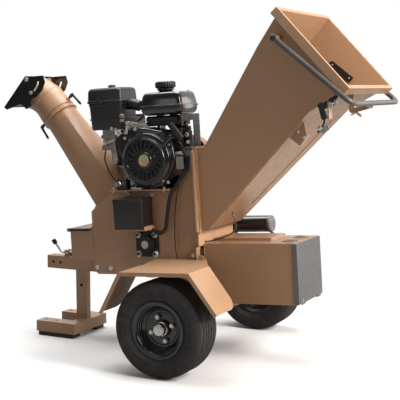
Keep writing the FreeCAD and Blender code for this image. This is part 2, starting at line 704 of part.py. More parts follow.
def belt_hull(r_engine, r_drum, y0, y1):
    """Solid bounded by two circles, one about each shaft, and their tangents."""
    a = Vector(CRANK_X, 0, CRANK_Z)
    b = Vector(DRUM_X, 0, DRUM_Z)
    line = a - b
    base = math.atan2(line.z, line.x)
    lean = math.acos((r_drum - r_engine) / line.Length)
    pts = []
    for sign in (1, -1):
        t = base + sign * lean
        unit = Vector(math.cos(t), 0, math.sin(t))
        pts.append((b + unit * r_drum, a + unit * r_engine))
    outline = [pts[0][0], pts[0][1], pts[1][1], pts[1][0]]
    flank = face([(p.x, y0, p.z) for p in outline]).extrude(Vector(0, y1 - y0, 0))
    return join(flank, y_rod(a.x, a.z, y0, y1, r_engine), y_rod(b.x, b.z, y0, y1, r_drum))


def drive_belts():
    belts = []
    inner, thick, half = 0.4 - GROOVE_DEPTH, 9.0, 5.5
    for y in belt_planes():
        outer = belt_hull(ENGINE_PULLEY_R + inner + thick, DRUM_PULLEY_R + inner + thick,
                          y - half, y + half)
        hollow = belt_hull(ENGINE_PULLEY_R + inner, DRUM_PULLEY_R + inner, y - half - 1, y + half + 1)
        belts.append(outer.cut(hollow))
    return group(*belts)


def belt_guard():
    y0, y1 = DECK_Y, PULLEY_Y1 + 12
    outer = belt_hull(ENGINE_PULLEY_R + 22, DRUM_PULLEY_R + 18, y0, y1)
    hollow = belt_hull(ENGINE_PULLEY_R + 19.5, DRUM_PULLEY_R + 15.5, y0 - 1, y1 - 2.5)
    return outer.cut(hollow)


# ---- electrics ---------------------------------------------------------------
def battery():
    case = box(-345, -200, -266, -174, 568.2, 678)
    case = round_edges(case, 5, lambda e: along(e, Z_AXIS))
    lid = box(-347, -198, -268, -172, 678, 702)
    lid = round_edges(lid, 6, lambda e: along(e, Z_AXIS) or e.BoundBox.ZMin > 701)
    return join(case, lid)


def control_box():
    case = box(-357, -301, -206, -172, DECK_Z + 0.2, 786)
    case = round_edges(case, 5, lambda e: along(e, Z_AXIS))
    barrel = y_rod(-341, 762, -212, -205, 9)
    return join(case, barrel).cut(y_rod(-341, 762, -214, -190, 5.1))


def ignition_key():
    return join(y_rod(-341, 762, -213, -191, 5), box(-343, -339, -232, -213, 752, 772))


# ---- discharge ---------------------------------------------------------------
def chute_frame():
    """Foot point, direction up the chute and direction across it, in XZ."""
    across = (CHUTE_HEAD - CHUTE_FOOT).normalize()
    up = Vector(-across.z, 0, across.x)
    return (CHUTE_FOOT + CHUTE_HEAD) * 0.5, up, across


def chute_point(t, s, y):
    foot, up, across = chute_frame()
    p = foot + up * t + across * s
    return (p.x, y, p.z)


def round_section(t, r, sides=16):
    turns = [2 * math.pi * i / sides for i in range(sides)]
    return [chute_point(t, r * math.cos(a), r * math.sin(a)) for a in turns]


def square_section(t, width, depth, sides=16):
    """Rectangle with as many points as a round section, so the two can be lofted."""
    points = []
    for i in range(sides):
        a = 2 * math.pi * i / sides
        c, s = math.cos(a), math.sin(a)
        k = 1 / max(abs(c), abs(s))
        points.append(chute_point(t, c * k * width / 2, s * k * depth / 2))
    return points


def chute():
    """Square-to-round discharge duct, with a base flange and a plain round neck."""
    w, d = CHUTE_BASE
    neck_t = CHUTE_LEN - 40
    wall = SHEET
    foot, up = chute_frame()[:2]
    flange = loft([square_section(0, w + 32, d + 60), square_section(6.5, w + 32, d + 60)])
    duct = loft([square_section(3, w, d), round_section(neck_t, CHUTE_TOP_R - 3)])
    neck = Part.makeCylinder(CHUTE_TOP_R, 52, foot + up * (neck_t - 8), up)
    bead = Part.makeCylinder(CHUTE_TOP_R + 4, 8, foot + up * (neck_t - 2), up)
    hollow = loft([square_section(-1, w - 2 * wall, d - 2 * wall),
                   square_section(7, w - 2 * wall, d - 2 * wall),
                   round_section(neck_t + 1, CHUTE_TOP_R - 6)])
    bore = Part.makeCylinder(CHUTE_TOP_R - 9, 80, foot + up * (neck_t - 4), up)
    return join(duct, neck, flange, bead).cut(hollow).cut(bore)


def elbow_section(point, direction, r, sides=8):
    """Octagon across a tube of the elbow: point and direction lie in XZ."""
    d = Vector(direction).normalize()
    side = Vector(d.z, 0, -d.x)
    grow = 1 / math.cos(math.pi / sides)
    ring_points = []
    for i in range(sides):
        a = 2 * math.pi * (i + 0.5) / sides
        offset = side * (r * grow * math.cos(a)) + Y_AXIS * (r * grow * math.sin(a))
        ring_points.append(Vector(point) + offset)
    return ring_points


def elbow_tube(r, start_t, overrun):
    foot, up = chute_frame()[:2]
    start = foot + up * start_t
    knee = foot + up * (CHUTE_LEN + 66)
    out = Vector(-0.852, 0, 0.524)
    mouth = Vector(-893, 0, 1198) + out * overrun
    return loft([elbow_section(start, up, r), elbow_section(knee, up + out, r / 0.965),
                 elbow_section(mouth, out, r)])


def chute_elbow():
    foot, up, across = chute_frame()
    collar_t = CHUTE_LEN - 16
    collar = Part.makeCylinder(CHUTE_TOP_R + 9, 30, foot + up * collar_t, up)
    tube = elbow_tube(ELBOW_R, CHUTE_LEN + 10, 0)
    bore = Part.makeCylinder(CHUTE_TOP_R + 0.8, 24, foot + up * (collar_t - 2), up)
    hollow = elbow_tube(ELBOW_R - SHEET, CHUTE_LEN + 4, 2)
    pivot = y_rod(PIVOT_X, PIVOT_Z, -CHEEK_Y - 6, CHEEK_Y + 6, 6)
    ears = []
    stud_a = math.radians(STUD_ANGLE)
    for side in (-1, 1):
        y0, y1 = sorted((side * (ELBOW_R - 2), side * (CHEEK_Y - 4)))
        ears.append(y_rod(PIVOT_X, PIVOT_Z, y0, y1, 10))
        ears.append(prism_y([(PIVOT_X - 8, PIVOT_Z), (PIVOT_X + 9, PIVOT_Z + 2),
                             (PIVOT_X + 36, PIVOT_Z - 60), (PIVOT_X + 10, PIVOT_Z - 84),
                             (PIVOT_X - 8, PIVOT_Z - 60)], y0, y1))
        sx, sz = PIVOT_X + SLOT_R * math.cos(stud_a), PIVOT_Z + SLOT_R * math.sin(stud_a)
        ends = sorted((side * (CHEEK_Y - 6), side * (CHEEK_Y + 12)))
        ears.append(y_rod(sx, sz, ends[0], ends[1], 4.5))
    body = join(collar, tube, pivot, *ears)
    body = body.cut(bore).cut(hollow)
    for sign in (-1, 1):
        a = foot + up * (collar_t + 13) + across * (sign * (CHUTE_TOP_R - 4))
        b = foot + up * (collar_t + 13) + across * (sign * (CHUTE_TOP_R + 12))
        body = body.cut(rod(a, b, 5.1))
    return body


def clamp_lever(sign):
    """Screw through the collar with a cranked handle; sign -1 front, +1 rear."""
    foot, up, across = chute_frame()
    base = foot + up * (CHUTE_LEN - 3)
    out = across * sign
    inner = base + out * (CHUTE_TOP_R + 1.5)
    outer = base + out * (CHUTE_TOP_R + 38)
    hang = Vector(0.37, 0, -0.93) if sign < 0 else Vector(0.73, 0, -0.68)
    hang = (hang - out * hang.dot(out) * 0.6).normalize()
    tip = outer + hang * 62
    return join(rod(inner, outer, 5), Part.makeSphere(6.5, outer), rod(outer, tip, 5.5),
                Part.makeSphere(7, tip))


def deflector():
    """Chip hood: front plate and two slotted cheeks on the elbow's pivot rod."""
    top = (PIVOT_X - 6, PIVOT_Z + 12)
    low = (PIVOT_X - 138, PIVOT_Z - 124)
    front = strip([low, top, (PIVOT_X + 7, PIVOT_Z + 12)], SHEET, -CHEEK_Y - 4, CHEEK_Y + 4)
    cheeks = []
    outline = [low, top, (PIVOT_X + 94, PIVOT_Z + 12), (PIVOT_X + 102, PIVOT_Z - 20),
               (PIVOT_X + 84, PIVOT_Z - 56), (PIVOT_X + 48, PIVOT_Z - 84), (PIVOT_X + 14, PIVOT_Z - 96),
               (PIVOT_X + 20, PIVOT_Z - 124), (PIVOT_X - 12, PIVOT_Z - 138),
               (PIVOT_X - 42, PIVOT_Z - 112), (PIVOT_X - 124, PIVOT_Z - 134)]
    slot = arc_points(0, 0, SLOT_R + 5, *SLOT_SPAN, 14)
    slot += arc_points(0, 0, SLOT_R - 5, *SLOT_SPAN[::-1], 14)
    slot = [(PIVOT_X + x, PIVOT_Z + z) for x, z in slot]
    for side in (-1, 1):
        y0, y1 = sorted((side * CHEEK_Y, side * (CHEEK_Y + 4)))
        plate = prism_y(outline, y0, y1)
        plate = plate.cut(prism_y(slot, y0 - 1, y1 + 1))
        plate = plate.cut(y_rod(PIVOT_X, PIVOT_Z, y0 - 1, y1 + 1, 6 + RUN_GAP))
        cheeks.append(plate)
    return join(front, *cheeks)


# ---- infeed hopper -----------------------------------------------------------
def mouth_dirs():
    a = math.radians(MOUTH_TILT)
    return Vector(math.cos(a), 0, -math.sin(a)), Vector(math.sin(a), 0, math.cos(a))


def mouth_corner(down, side, half_l, half_w, depth):
    """Corner of the mouth opening, `depth` behind its face."""
    along_mouth, out = mouth_dirs()
    p = Vector(MOUTH_X, side * half_w, MOUTH_Z) + along_mouth * (down * half_l) - out * depth
    return p


def hopper_section(stage, inset):
    """Four corners (bottom near, bottom far, top far, top near) of the funnel."""
    if stage == 0:
        x, lo, hi, half = THROAT_X, THROAT_Z0, THROAT_Z1, THROAT_HALF
        return [(x, -half + inset, lo + inset), (x, half - inset, lo + inset),
                (x, half - inset, hi - inset), (x, -half + inset, hi - inset)]
    if stage == 1:
        top = Vector(MOUTH_X, 0, MOUTH_Z) - mouth_dirs()[0] * (MOUTH_L / 2)
        share = (KINK_X - THROAT_X) / (754 - THROAT_X)
        tx = THROAT_X + (top.x - THROAT_X) * share
        tz = THROAT_Z1 + (top.z - THROAT_Z1) * share
        half = KINK_HALF
        return [(KINK_X - inset, -half + inset, KINK_Z + inset), (KINK_X - inset, half - inset,
                 KINK_Z + inset), (tx, half - inset, tz - inset * 1.6),
                (tx, -half + inset, tz - inset * 1.6)]
    half_l, half_w = MOUTH_L / 2 - RIM_LIP - inset, MOUTH_W / 2 - RIM_LIP - inset
    depth = 2 if inset == 0 else -1
    return [mouth_corner(1, -1, half_l, half_w, depth), mouth_corner(1, 1, half_l, half_w, depth),
            mouth_corner(-1, 1, half_l, half_w, depth), mouth_corner(-1, -1, half_l, half_w, depth)]


def hopper_rim():
    def frame(half_l, half_w, d0, d1):
        return loft([[mouth_corner(k, s, half_l, half_w, d) for k, s in
                      ((1, -1), (1, 1), (-1, 1), (-1, -1))] for d in (d0, d1)])
    outer = frame(MOUTH_L / 2, MOUTH_W / 2, 0, RIM_DEPTH)
    inner = frame(MOUTH_L / 2 - RIM_LIP - 3, MOUTH_W / 2 - RIM_LIP - 3, -1, RIM_DEPTH + 1)
    return outer.cut(inner)


def hinge_spans():
    """Ends of the five hinge knuckles along the pin: fixed, moving, fixed..."""
    pitch = (HINGE_Z1 - HINGE_Z0) / 5
    return [(HINGE_Z0 + pitch * i, HINGE_Z0 + pitch * (i + 1) - 1.5) for i in range(5)]


def hopper():
    """Funnel, neck and base flange, mouth rim, side flanges and hinge knuckles."""
    outer = join(loft([hopper_section(0, 0), hopper_section(1, 0)]),
                 loft([hopper_section(1, 0), hopper_section(2, 0)]))
    inner = join(loft([hopper_section(0, SHEET), hopper_section(1, SHEET)]),
                 loft([hopper_section(1, SHEET), hopper_section(2, SHEET)]))
    neck = box(24, THROAT_X, -THROAT_HALF, THROAT_HALF, THROAT_Z0, THROAT_Z1)
    flange = box(22, 28, -182, FLANGE_FAR, THROAT_Z0 - 16, THROAT_Z1 + 4)
    bore = box(20, THROAT_X + 1, -THROAT_HALF + SHEET, THROAT_HALF - SHEET,
               THROAT_Z0 + SHEET, FEED_TOP)
    upper = box(28, THROAT_X + 1, -THROAT_HALF + SHEET, THROAT_HALF - SHEET,
                THROAT_Z0 + SHEET, THROAT_Z1 - SHEET)
    body = join(outer, neck, flange, hopper_rim())
    body = body.cut(join(inner, upper)).cut(bore)
    for z0, z1 in hinge_spans()[1::2]:
        knuckle = join(y_up(HINGE_X, HINGE_Y, z0, z1, 9), box(22, 28, -190, -181, z0, z1))
        body = join(body, knuckle)
        body = body.cut(y_up(HINGE_X, HINGE_Y, z0 - 2, z1 + 2, 5 + RUN_GAP))
    body = join(body, box(652, 656, -262, -226, 996, 1078))
    for side in (-1, 1):
        boss = y_rod(BAR_X, BAR_Z, side * 262, side * (BAR_Y - 13), 13)
        pin = y_rod(BAR_X, BAR_Z, side * (BAR_Y - 14), side * (BAR_Y + 14), 6)
        body = join(body, boss, pin)
    trim = loft([hopper_section(1, SHEET), hopper_section(2, SHEET)])
    return body.cut(trim)


def hopper_hinge():
    knuckles = []
    for z0, z1 in hinge_spans()[0::2]:
        leaf = box(14, 20, -190, -182, z0, z1)
        knuckles.append(join(y_up(HINGE_X, HINGE_Y, z0, z1, 9), leaf))
    pin = y_up(HINGE_X, HINGE_Y, HINGE_Z0 - 4, HINGE_Z1 + 2, 5)
    return join(pin, *knuckles)


def safety_bar():
    """Bent tube in front of the mouth, with an eye at the end of each arm."""
    reach = Vector(BAR_END_X - BAR_X, 0, BAR_END_Z - BAR_Z)
    way = reach.normalize()
    bend = 34
    length = math.hypot(BAR_END_X - BAR_X, BAR_END_Z - BAR_Z)
    parts = []
    for side in (-1, 1):
        y = side * BAR_Y
        eye = y_rod(BAR_X, BAR_Z, y - 11, y + 11, 14)
        start = Vector(BAR_X, y, BAR_Z) + way * 8
        stop = Vector(BAR_X, y, BAR_Z) + way * (length - bend)
        inner = Vector(BAR_END_X, y - side * bend, BAR_END_Z)
        parts += [eye, rod(start, stop, BAR_R), Part.makeSphere(BAR_R, stop), rod(stop, inner, BAR_R),
                  Part.makeSphere(BAR_R, inner)]
    end = BAR_Y - bend
    parts.append(y_rod(BAR_END_X, BAR_END_Z, -end, end, BAR_R))
    body = join(*parts)
    for side in (-1, 1):
        y = side * BAR_Y
        body = body.cut(y_rod(BAR_X, BAR_Z, y - 15, y + 15, 6 + RUN_GAP))
    return body


def bar_switch():
    """Limit switch under the mouth that the safety bar works."""
    case = box(614, 652, -260, -228, 992, 1042)
    case = round_edges(case, 5, lambda e: along(e, Y_AXIS))
    cable = rod((620, -244, 996), (590, -244, 976), 4)
    return join(case, cable)


# ---- rear box ----------------------------------------------------------------
def rear_box():
    outer = box(BOX_X0, BOX_X1, -BOX_HALF, BOX_HALF, BOX_Z0, BOX_Z1)
    tub = outer.cut(box(BOX_X0 + SHEET, BOX_X1 + 1, -BOX_HALF + SHEET, BOX_HALF - SHEET,
                        BOX_Z0 + SHEET, BOX_Z1 - SHEET))
    return tub


def rear_panel():
    door = box(BOX_X1 + 0.5, BOX_X1 + 4.5, -BOX_HALF, BOX_HALF, BOX_Z0 + 4, BOX_Z1)
    rolls = [y_rod(BOX_X1 + 5, BOX_Z0 + 2, y, y + 40, 4) for y in (-110, 70)]
    return join(door, *rolls)


# ---- drawbar and stand (level with the ground) -------------------------------
def drawbar():
    """Square tube with the stand socket, lever ears and two bolted body ears."""
    tube = box(DRAWBAR_X0, DRAWBAR_X1, -DRAWBAR_HALF, DRAWBAR_HALF, BAR_BOTTOM, BAR_TOP)
    inside = box(DRAWBAR_X0 + 4, DRAWBAR_X1 + 1, -DRAWBAR_HALF + 5, DRAWBAR_HALF - 5,
                 BAR_BOTTOM + 5, BAR_TOP - 5)
    tube = tube.cut(inside)
    socket = box(POST_X0 - 0.5, POST_X1 + 0.5, -POST_HALF - 0.5, POST_HALF + 0.5,
                 BAR_BOTTOM - 1, BAR_TOP + 1)
    tube = tube.cut(socket)
    for side in (-1, 1):
        y0, y1 = sorted((side * 13.5, side * 18.5))
        ear = box(-794, -766, y0, y1, BAR_TOP - 1, 392)
        tube = join(tube, ear)
    tube = tube.cut(y_rod(-780, 380, -20, 20, 5 + RUN_GAP))
    for x in COUPLER_X:
        tube = tube.cut(y_rod(x, (BAR_TOP + BAR_BOTTOM) / 2, -DRAWBAR_HALF - 1, DRAWBAR_HALF + 1,
                              COUPLER_HOLE_R))
    edge = PLATE_Y - PLATE_T
    web = box(-520, -408, -edge, edge, BAR_TOP, BAR_TOP + 6)
    body = untilt(join(tube, web))
    for side in (-1, 1):
        y0, y1 = sorted((side * (edge - 8), side * edge))
        ear = box(-514, -410, y0, y1, 368, 412)
        body = join(body, ear)
        for x, z in drawbar_holes():
            body = body.cut(y_rod(x, z, y0 - 1, y1 + 1, 6.5))
    return tilt(body)


def stand():
    """Telescoping post on a U-shaped base."""
    post = box(POST_X0, POST_X1, -POST_HALF, POST_HALF, FOOT_TOP - 1, POST_TOP)
    post = post.cut(box(POST_X0 + 3, POST_X1 - 3, -POST_HALF + 3, POST_HALF - 3, FOOT_TOP, POST_TOP + 1))
    mid = (POST_X0 + POST_X1) / 2
    for i in range(3):
        z = HOLE_Z + HOLE_STEP * i
        if z < POST_TOP - 20:
            post = post.cut(y_rod(mid, z, -POST_HALF - 1, POST_HALF + 1, 7.5))
    cross = box(-713, -663, -140, 140, FOOT_BOTTOM, FOOT_TOP)
    feet = [box(-875, -713, y, y + 70, FOOT_BOTTOM, FOOT_TOP) for y in (-140, 70)]
    wall = 4
    base = join(cross, *feet)
    base = base.cut(box(-713 + wall, -663 - wall, -140 + wall, 140 - wall, FOOT_BOTTOM + wall,
                        FOOT_TOP - wall))
    for y in (-140, 70):
        base = base.cut(box(-876, -663 - wall, y + wall, y + 70 - wall, FOOT_BOTTOM + wall,
                            FOOT_TOP - wall))
        for x in (-842, -785):
            base = base.cut(y_up(x, y + 35, FOOT_TOP - wall - 1, FOOT_TOP + 1, 7))
    return join(base, post)


def stand_pads():
    pads = [box(-866, -677, y, y + 72, 0, FOOT_BOTTOM) for y in (-140, 68)]
    return group(*[round_edges(p, 6, lambda e: along(e, Z_AXIS)) for p in pads])


def stand_lever():
    """Cranked lock lever with a ball knob, pivoted between two ears."""
    hub_y = y_rod(-780, 380, -13, 13, 10)
    pin = y_rod(-780, 380, -22, 22, 5)
    bend = Vector(-822, 0, 374)
    tip = Vector(-858, 0, 419)
    return join(hub_y, pin, rod((-780, 0, 380), bend, 5), Part.makeSphere(5, bend), rod(bend, tip, 5),
                Part.makeSphere(12, tip + (tip - bend).normalize() * 6))


# ---- list of nodes -----------------------------------------------------------
LEVEL = {
    "drawbar": drawbar, "stand_post": stand, "stand_pads": stand_pads,
    "stand_lock_lever": stand_lever,
}
for name, side in (("near", -1), ("far", 1)):
    LEVEL[name + "_tyre"] = lambda s=side: set_wheel(tyre(), s)
    LEVEL[name + "_rim"] = lambda s=side: set_wheel(rim(), s)
    LEVEL[name + "_hub"] = lambda s=side: set_wheel(hub(), s)
    LEVEL[name + "_lug_nuts"] = lambda s=side: set_wheel(lug_nuts(), s)
    LEVEL[name + "_hub_cap"] = lambda s=side: set_wheel(hub_cap(), s)

PITCHED = {
    "axle": axle, "drum_casing": drum_casing, "feed_box": feed_box, "engine_deck": engine_deck,
    "front_box": front_box, "front_lid": front_lid, "drum_rotor": drum_rotor,
    "drum_knives": drum_knives, "drum_bearings": drum_bearings,
    "frame_bolts": frame_bolts, "bed_knife": bed_knife, "feed_roller": feed_roller,
    "feed_gearbox": feed_gearbox, "feed_motor": feed_motor, "engine_block": engine_block,
    "fan_shroud": fan_shroud, "recoil_starter": recoil_starter, "starter_grip": starter_grip,
    "air_filter": air_filter, "carburettor": carburettor, "throttle_lever": throttle_lever,
    "fuel_tank": fuel_tank, "fuel_cap": fuel_cap, "muffler": muffler,
    "engine_pulley": engine_pulley, "drum_pulley": drum_pulley,
    "drive_belts": drive_belts, "belt_guard": belt_guard, "battery": battery,
    "control_box": control_box, "ignition_key": ignition_key, "chute": chute,
    "chute_elbow": chute_elbow, "deflector": deflector, "hopper": hopper,
    "hopper_hinge": hopper_hinge, "safety_bar": safety_bar, "bar_switch": bar_switch,
    "rear_box": rear_box, "rear_panel": rear_panel,
}
for name, side in (("near", -1), ("far", 1)):
    PITCHED[name + "_fender"] = lambda s=side: fender(s)
    PITCHED[name + "_side_plate"] = lambda s=side: side_plate(s)
PITCHED["front_clamp_lever"] = lambda: clamp_lever(-1)
PITCHED["rear_clamp_lever"] = lambda: clamp_lever(1)


def main():
    os.makedirs("parts", exist_ok=True)
    for name, make in LEVEL.items():
        make().exportStep("parts/" + name + ".step")
    for name, make in PITCHED.items():
        tilt(make()).exportStep("parts/" + name + ".step")


main()
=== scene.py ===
import json
import math

import bmesh
import bpy
from mathutils import Matrix, Vector
from mathutils.bvhtree import BVHTree

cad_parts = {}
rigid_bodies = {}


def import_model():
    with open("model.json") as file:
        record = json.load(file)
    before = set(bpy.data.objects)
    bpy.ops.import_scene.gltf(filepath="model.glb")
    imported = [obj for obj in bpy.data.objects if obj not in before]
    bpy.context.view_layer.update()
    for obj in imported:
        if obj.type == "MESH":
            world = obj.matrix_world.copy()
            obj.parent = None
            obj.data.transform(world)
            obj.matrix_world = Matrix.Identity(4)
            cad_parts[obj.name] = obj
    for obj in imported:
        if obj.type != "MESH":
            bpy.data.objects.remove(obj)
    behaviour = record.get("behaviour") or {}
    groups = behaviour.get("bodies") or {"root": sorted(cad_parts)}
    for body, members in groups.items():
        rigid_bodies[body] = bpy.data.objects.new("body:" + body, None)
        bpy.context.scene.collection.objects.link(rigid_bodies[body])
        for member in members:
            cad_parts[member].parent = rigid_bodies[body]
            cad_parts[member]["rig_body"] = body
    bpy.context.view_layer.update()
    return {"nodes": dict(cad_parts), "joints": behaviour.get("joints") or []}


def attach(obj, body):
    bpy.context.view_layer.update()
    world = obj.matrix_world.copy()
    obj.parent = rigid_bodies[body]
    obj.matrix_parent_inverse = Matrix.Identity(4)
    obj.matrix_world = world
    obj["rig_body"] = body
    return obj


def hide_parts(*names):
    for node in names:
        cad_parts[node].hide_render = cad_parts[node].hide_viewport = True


# Looks of the towable wood chipper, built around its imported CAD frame.
# Pieces are drawn in millimetres in the machine's upright frame, which is then
# pitched about the axle exactly as the CAD body is; level pieces skip the pitch.

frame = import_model()

MM = 0.001
JOINTS = {j["name"]: j for j in frame["joints"]}
PITCH = math.asin(JOINTS["hopper_swing"]["axis"][0])
AXLE_Z = JOINTS["near_wheel_spin"]["pos_m"][2]
TO_AXLE = Matrix.Translation((0, 0, AXLE_Z))
PITCHED = TO_AXLE @ Matrix.Rotation(-PITCH, 4, "Y") @ TO_AXLE.inverted() @ Matrix.Scale(MM, 4)
LEVEL = Matrix.Scale(MM, 4)
Y_WAY = Vector((0, 1, 0))
NEAR, REAR, UP, DOWN = (0, -1, 0), (1, 0, 0), (0, 0, 1), (0, 0, -1)
BODY = "chipper_body"
RIM_FACE = 28.0                # how far the rim's face stands out from its middle
LUGS, LUG_RADIUS = 4, 50.0     # lug nuts on each wheel, and how far they sit from its axis
CHUTE_FACE = 136               # bolts of the chute's foot, out from its axis along Y
STARTER_RADIUS = 116           # the ring that the starter cover's bolts sit on
HOUSING_FACE, HOUSING_PITCH = 183, 41.5   # bearing bolts: out from the middle, and off the shaft
STAND_FOOT = (-733, -673)      # front and back of the stand post at its foot
CAMERA_AT = (1.937, -4.065, 1.163)
CAMERA_AZIMUTH, CAMERA_DOWN, LENS = 26.45, 6.29, 92.88


def points(node, matrix=PITCHED):
    """A CAD node's corners in millimetres, in the upright frame."""
    back = matrix.inverted()
    return [back @ v.co for v in frame["nodes"][node].data.vertices]


def upright(node, matrix=PITCHED):
    """Lowest and highest corner of a CAD node in millimetres, in the upright frame."""
    found = points(node, matrix)
    low = Vector([min(p[i] for p in found) for i in range(3)])
    high = Vector([max(p[i] for p in found) for i in range(3)])
    return low, high


def surface(node, start, way):
    """Where a ray first meets a CAD node, and the direction out of that face."""
    polygons = [tuple(p.vertices) for p in frame["nodes"][node].data.polygons]
    tree = BVHTree.FromPolygons(points(node), polygons)
    way = Vector(way).normalized()
    hit, normal, _, _ = tree.ray_cast(Vector(start), way)
    return hit, (-normal if normal.dot(way) > 0 else normal)


def joint_point(name):
    """Where a hinge's axis passes, in millimetres, in the upright frame."""
    return PITCHED.inverted() @ Vector(JOINTS[name]["pos_m"])


def joint_way(name):
    """A joint's axis as a direction in the upright frame."""
    return Matrix.Rotation(PITCH, 3, "Y") @ Vector(JOINTS[name]["axis"])


def add_object(name, data):
    obj = bpy.data.objects.new(name, data)
    bpy.context.scene.collection.objects.link(obj)
    return obj


def aim_at(obj, at, way):
    """Puts a lamp or camera at a place in metres, looking along a direction."""
    obj.location = at
    obj.rotation_euler = Vector(way).to_track_quat("-Z", "Y").to_euler()


# ---- materials ---------------------------------------------------------------
class Nodes:
    """A material's node tree, with short ways to add and link nodes."""

    def __init__(self, name):
        self.mat = bpy.data.materials.new(name)
        self.mat.use_nodes = True
        self.tree = self.mat.node_tree
        self.shader = self.tree.nodes["Principled BSDF"]
        self.place = self.new("TexCoord").outputs["Object"]

    def link(self, value, socket):
        if isinstance(value, bpy.types.NodeSocket):
            self.tree.links.new(value, socket)
        else:
            socket.default_value = value

    def new(self, kind, **inputs):
        """Adds a node of this kind, with these values at its inputs."""
        node = self.tree.nodes.new("ShaderNode" + kind)
        for name, value in inputs.items():
            node.inputs[name].default_value = value
        return node

    def noise(self, scale, detail=4.0, stretch=(1, 1, 1)):
        mapping = self.new("Mapping", Scale=stretch)
        self.link(self.place, mapping.inputs["Vector"])
        node = self.new("TexNoise", Scale=scale, Detail=detail)
        self.link(mapping.outputs["Vector"], node.inputs["Vector"])
        return node.outputs["Fac"]

    def ramp(self, value, low, high, out_low=0.0, out_high=1.0):
        node = self.new("MapRange")
        node.clamp = True
        for name, number in (("From Min", low), ("From Max", high),
                             ("To Min", out_low), ("To Max", out_high)):
            node.inputs[name].default_value = number
        self.link(value, node.inputs["Value"])
        return node.outputs["Result"]

    def math(self, operation, a, b=0.5):
        node = self.new("Math")
        node.operation = operation
        self.link(a, node.inputs[0])
        self.link(b, node.inputs[1])
        return node.outputs[0]

    def times(self, product, *factors):
        for factor in factors:
            product = self.math("MULTIPLY", product, factor)
        return product

    def mix(self, share, a, b):
        node = self.new("Mix")
        node.data_type = "RGBA"
        self.link(share, node.inputs["Factor"])
        self.link(a, node.inputs["A"])
        self.link(b, node.inputs["B"])
        return node.outputs["Result"]

    def edges(self, radius):
        """Near 1 on worn outer edges: where a rounded normal leaves the true one."""
        bevel = self.new("Bevel", Radius=radius)
        bevel.samples = 4
        geometry = self.new("NewGeometry")
        dot = self.new("VectorMath")
        dot.operation = "DOT_PRODUCT"
        self.link(bevel.outputs["Normal"], dot.inputs[0])
        self.link(geometry.outputs["Normal"], dot.inputs[1])
        return self.ramp(dot.outputs["Value"], 0.995, 0.9)

    def z_of(self, vector):
        split = self.new("SeparateXYZ")
        self.link(vector, split.inputs[0])
        return split.outputs["Z"]

    def facing_up(self):
        return self.ramp(self.z_of(self.new("NewGeometry").outputs["Normal"]), 0.4, 1.0)

    def bump(self, value, strength, distance):
        node = self.new("Bump", Strength=strength, Distance=distance)
        self.link(value, node.inputs["Height"])
        self.link(node.outputs["Normal"], self.shader.inputs["Normal"])


def tint(color, factor):
    return tuple(min(1.0, c * factor) for c in color[:3]) + (1.0,)


def finish(name, color, rough, metal=0.0, vary=0.1, patch=5.0, grain=350.0, relief=0.12, depth=0.0004,
           wear=None, wear_amount=0.5, dust=None, coat=0.0, brushed=None):
    """General painted, plastic or metal surface with variation, grain, wear and dust."""
    n = Nodes(name)
    blotch = n.ramp(n.noise(patch), 0.3, 0.7)
    tone = n.mix(blotch, tint(color, 1 - vary), tint(color, 1 + vary))
    fine = n.noise(grain, 3.0, brushed or (1, 1, 1))
    tone = n.mix(n.ramp(fine, 0.35, 0.65, 0.0, vary), tone, tint(color, 0.6))
    shine = n.ramp(n.noise(patch * 9), 0.3, 0.7, max(0.02, rough - 0.07), rough + 0.09)
    if dust:
        low_down = n.ramp(n.z_of(n.place), 0.05, 1.1, 1.0, 0.25)
        share = n.times(n.facing_up(), n.ramp(n.noise(14.0), 0.35, 0.75), low_down, dust)
        tone = n.mix(share, tone, (0.36, 0.29, 0.21, 1))
        shine = n.math("MAXIMUM", shine, n.times(share, 0.8))
    if wear:
        chips = n.times(n.edges(0.0025), n.ramp(n.noise(60.0), 0.42, 0.62), wear_amount)
        tone = n.mix(chips, tone, tuple(wear) + (1,))
        shine = n.math("MAXIMUM", shine, n.times(chips, 0.5))
    n.link(tone, n.shader.inputs["Base Color"])
    n.link(shine, n.shader.inputs["Roughness"])
    n.link(metal, n.shader.inputs["Metallic"])
    n.shader.inputs["Coat Weight"].default_value = coat
    n.shader.inputs["Coat Roughness"].default_value = 0.12
    n.bump(fine, relief, depth)
    return n.mat


def tyre_rubber():
    """Dull black rubber, dusty brown in the grooves, with fine moulding marks."""
    n = Nodes("tyre_rubber")
    black = n.mix(n.ramp(n.noise(9.0), 0.3, 0.7), (0.010, 0.009, 0.009, 1), (0.020, 0.018, 0.017, 1))
    dirt = n.times(n.ramp(n.noise(26.0, 6.0), 0.45, 0.75), 0.35)
    n.link(n.mix(dirt, black, (0.05, 0.04, 0.033, 1)), n.shader.inputs["Base Color"])
    n.link(n.ramp(n.noise(40.0), 0.3, 0.7, 0.55, 0.8), n.shader.inputs["Roughness"])
    n.bump(n.noise(900.0, 6.0), 0.25, 0.0004)
    return n.mat


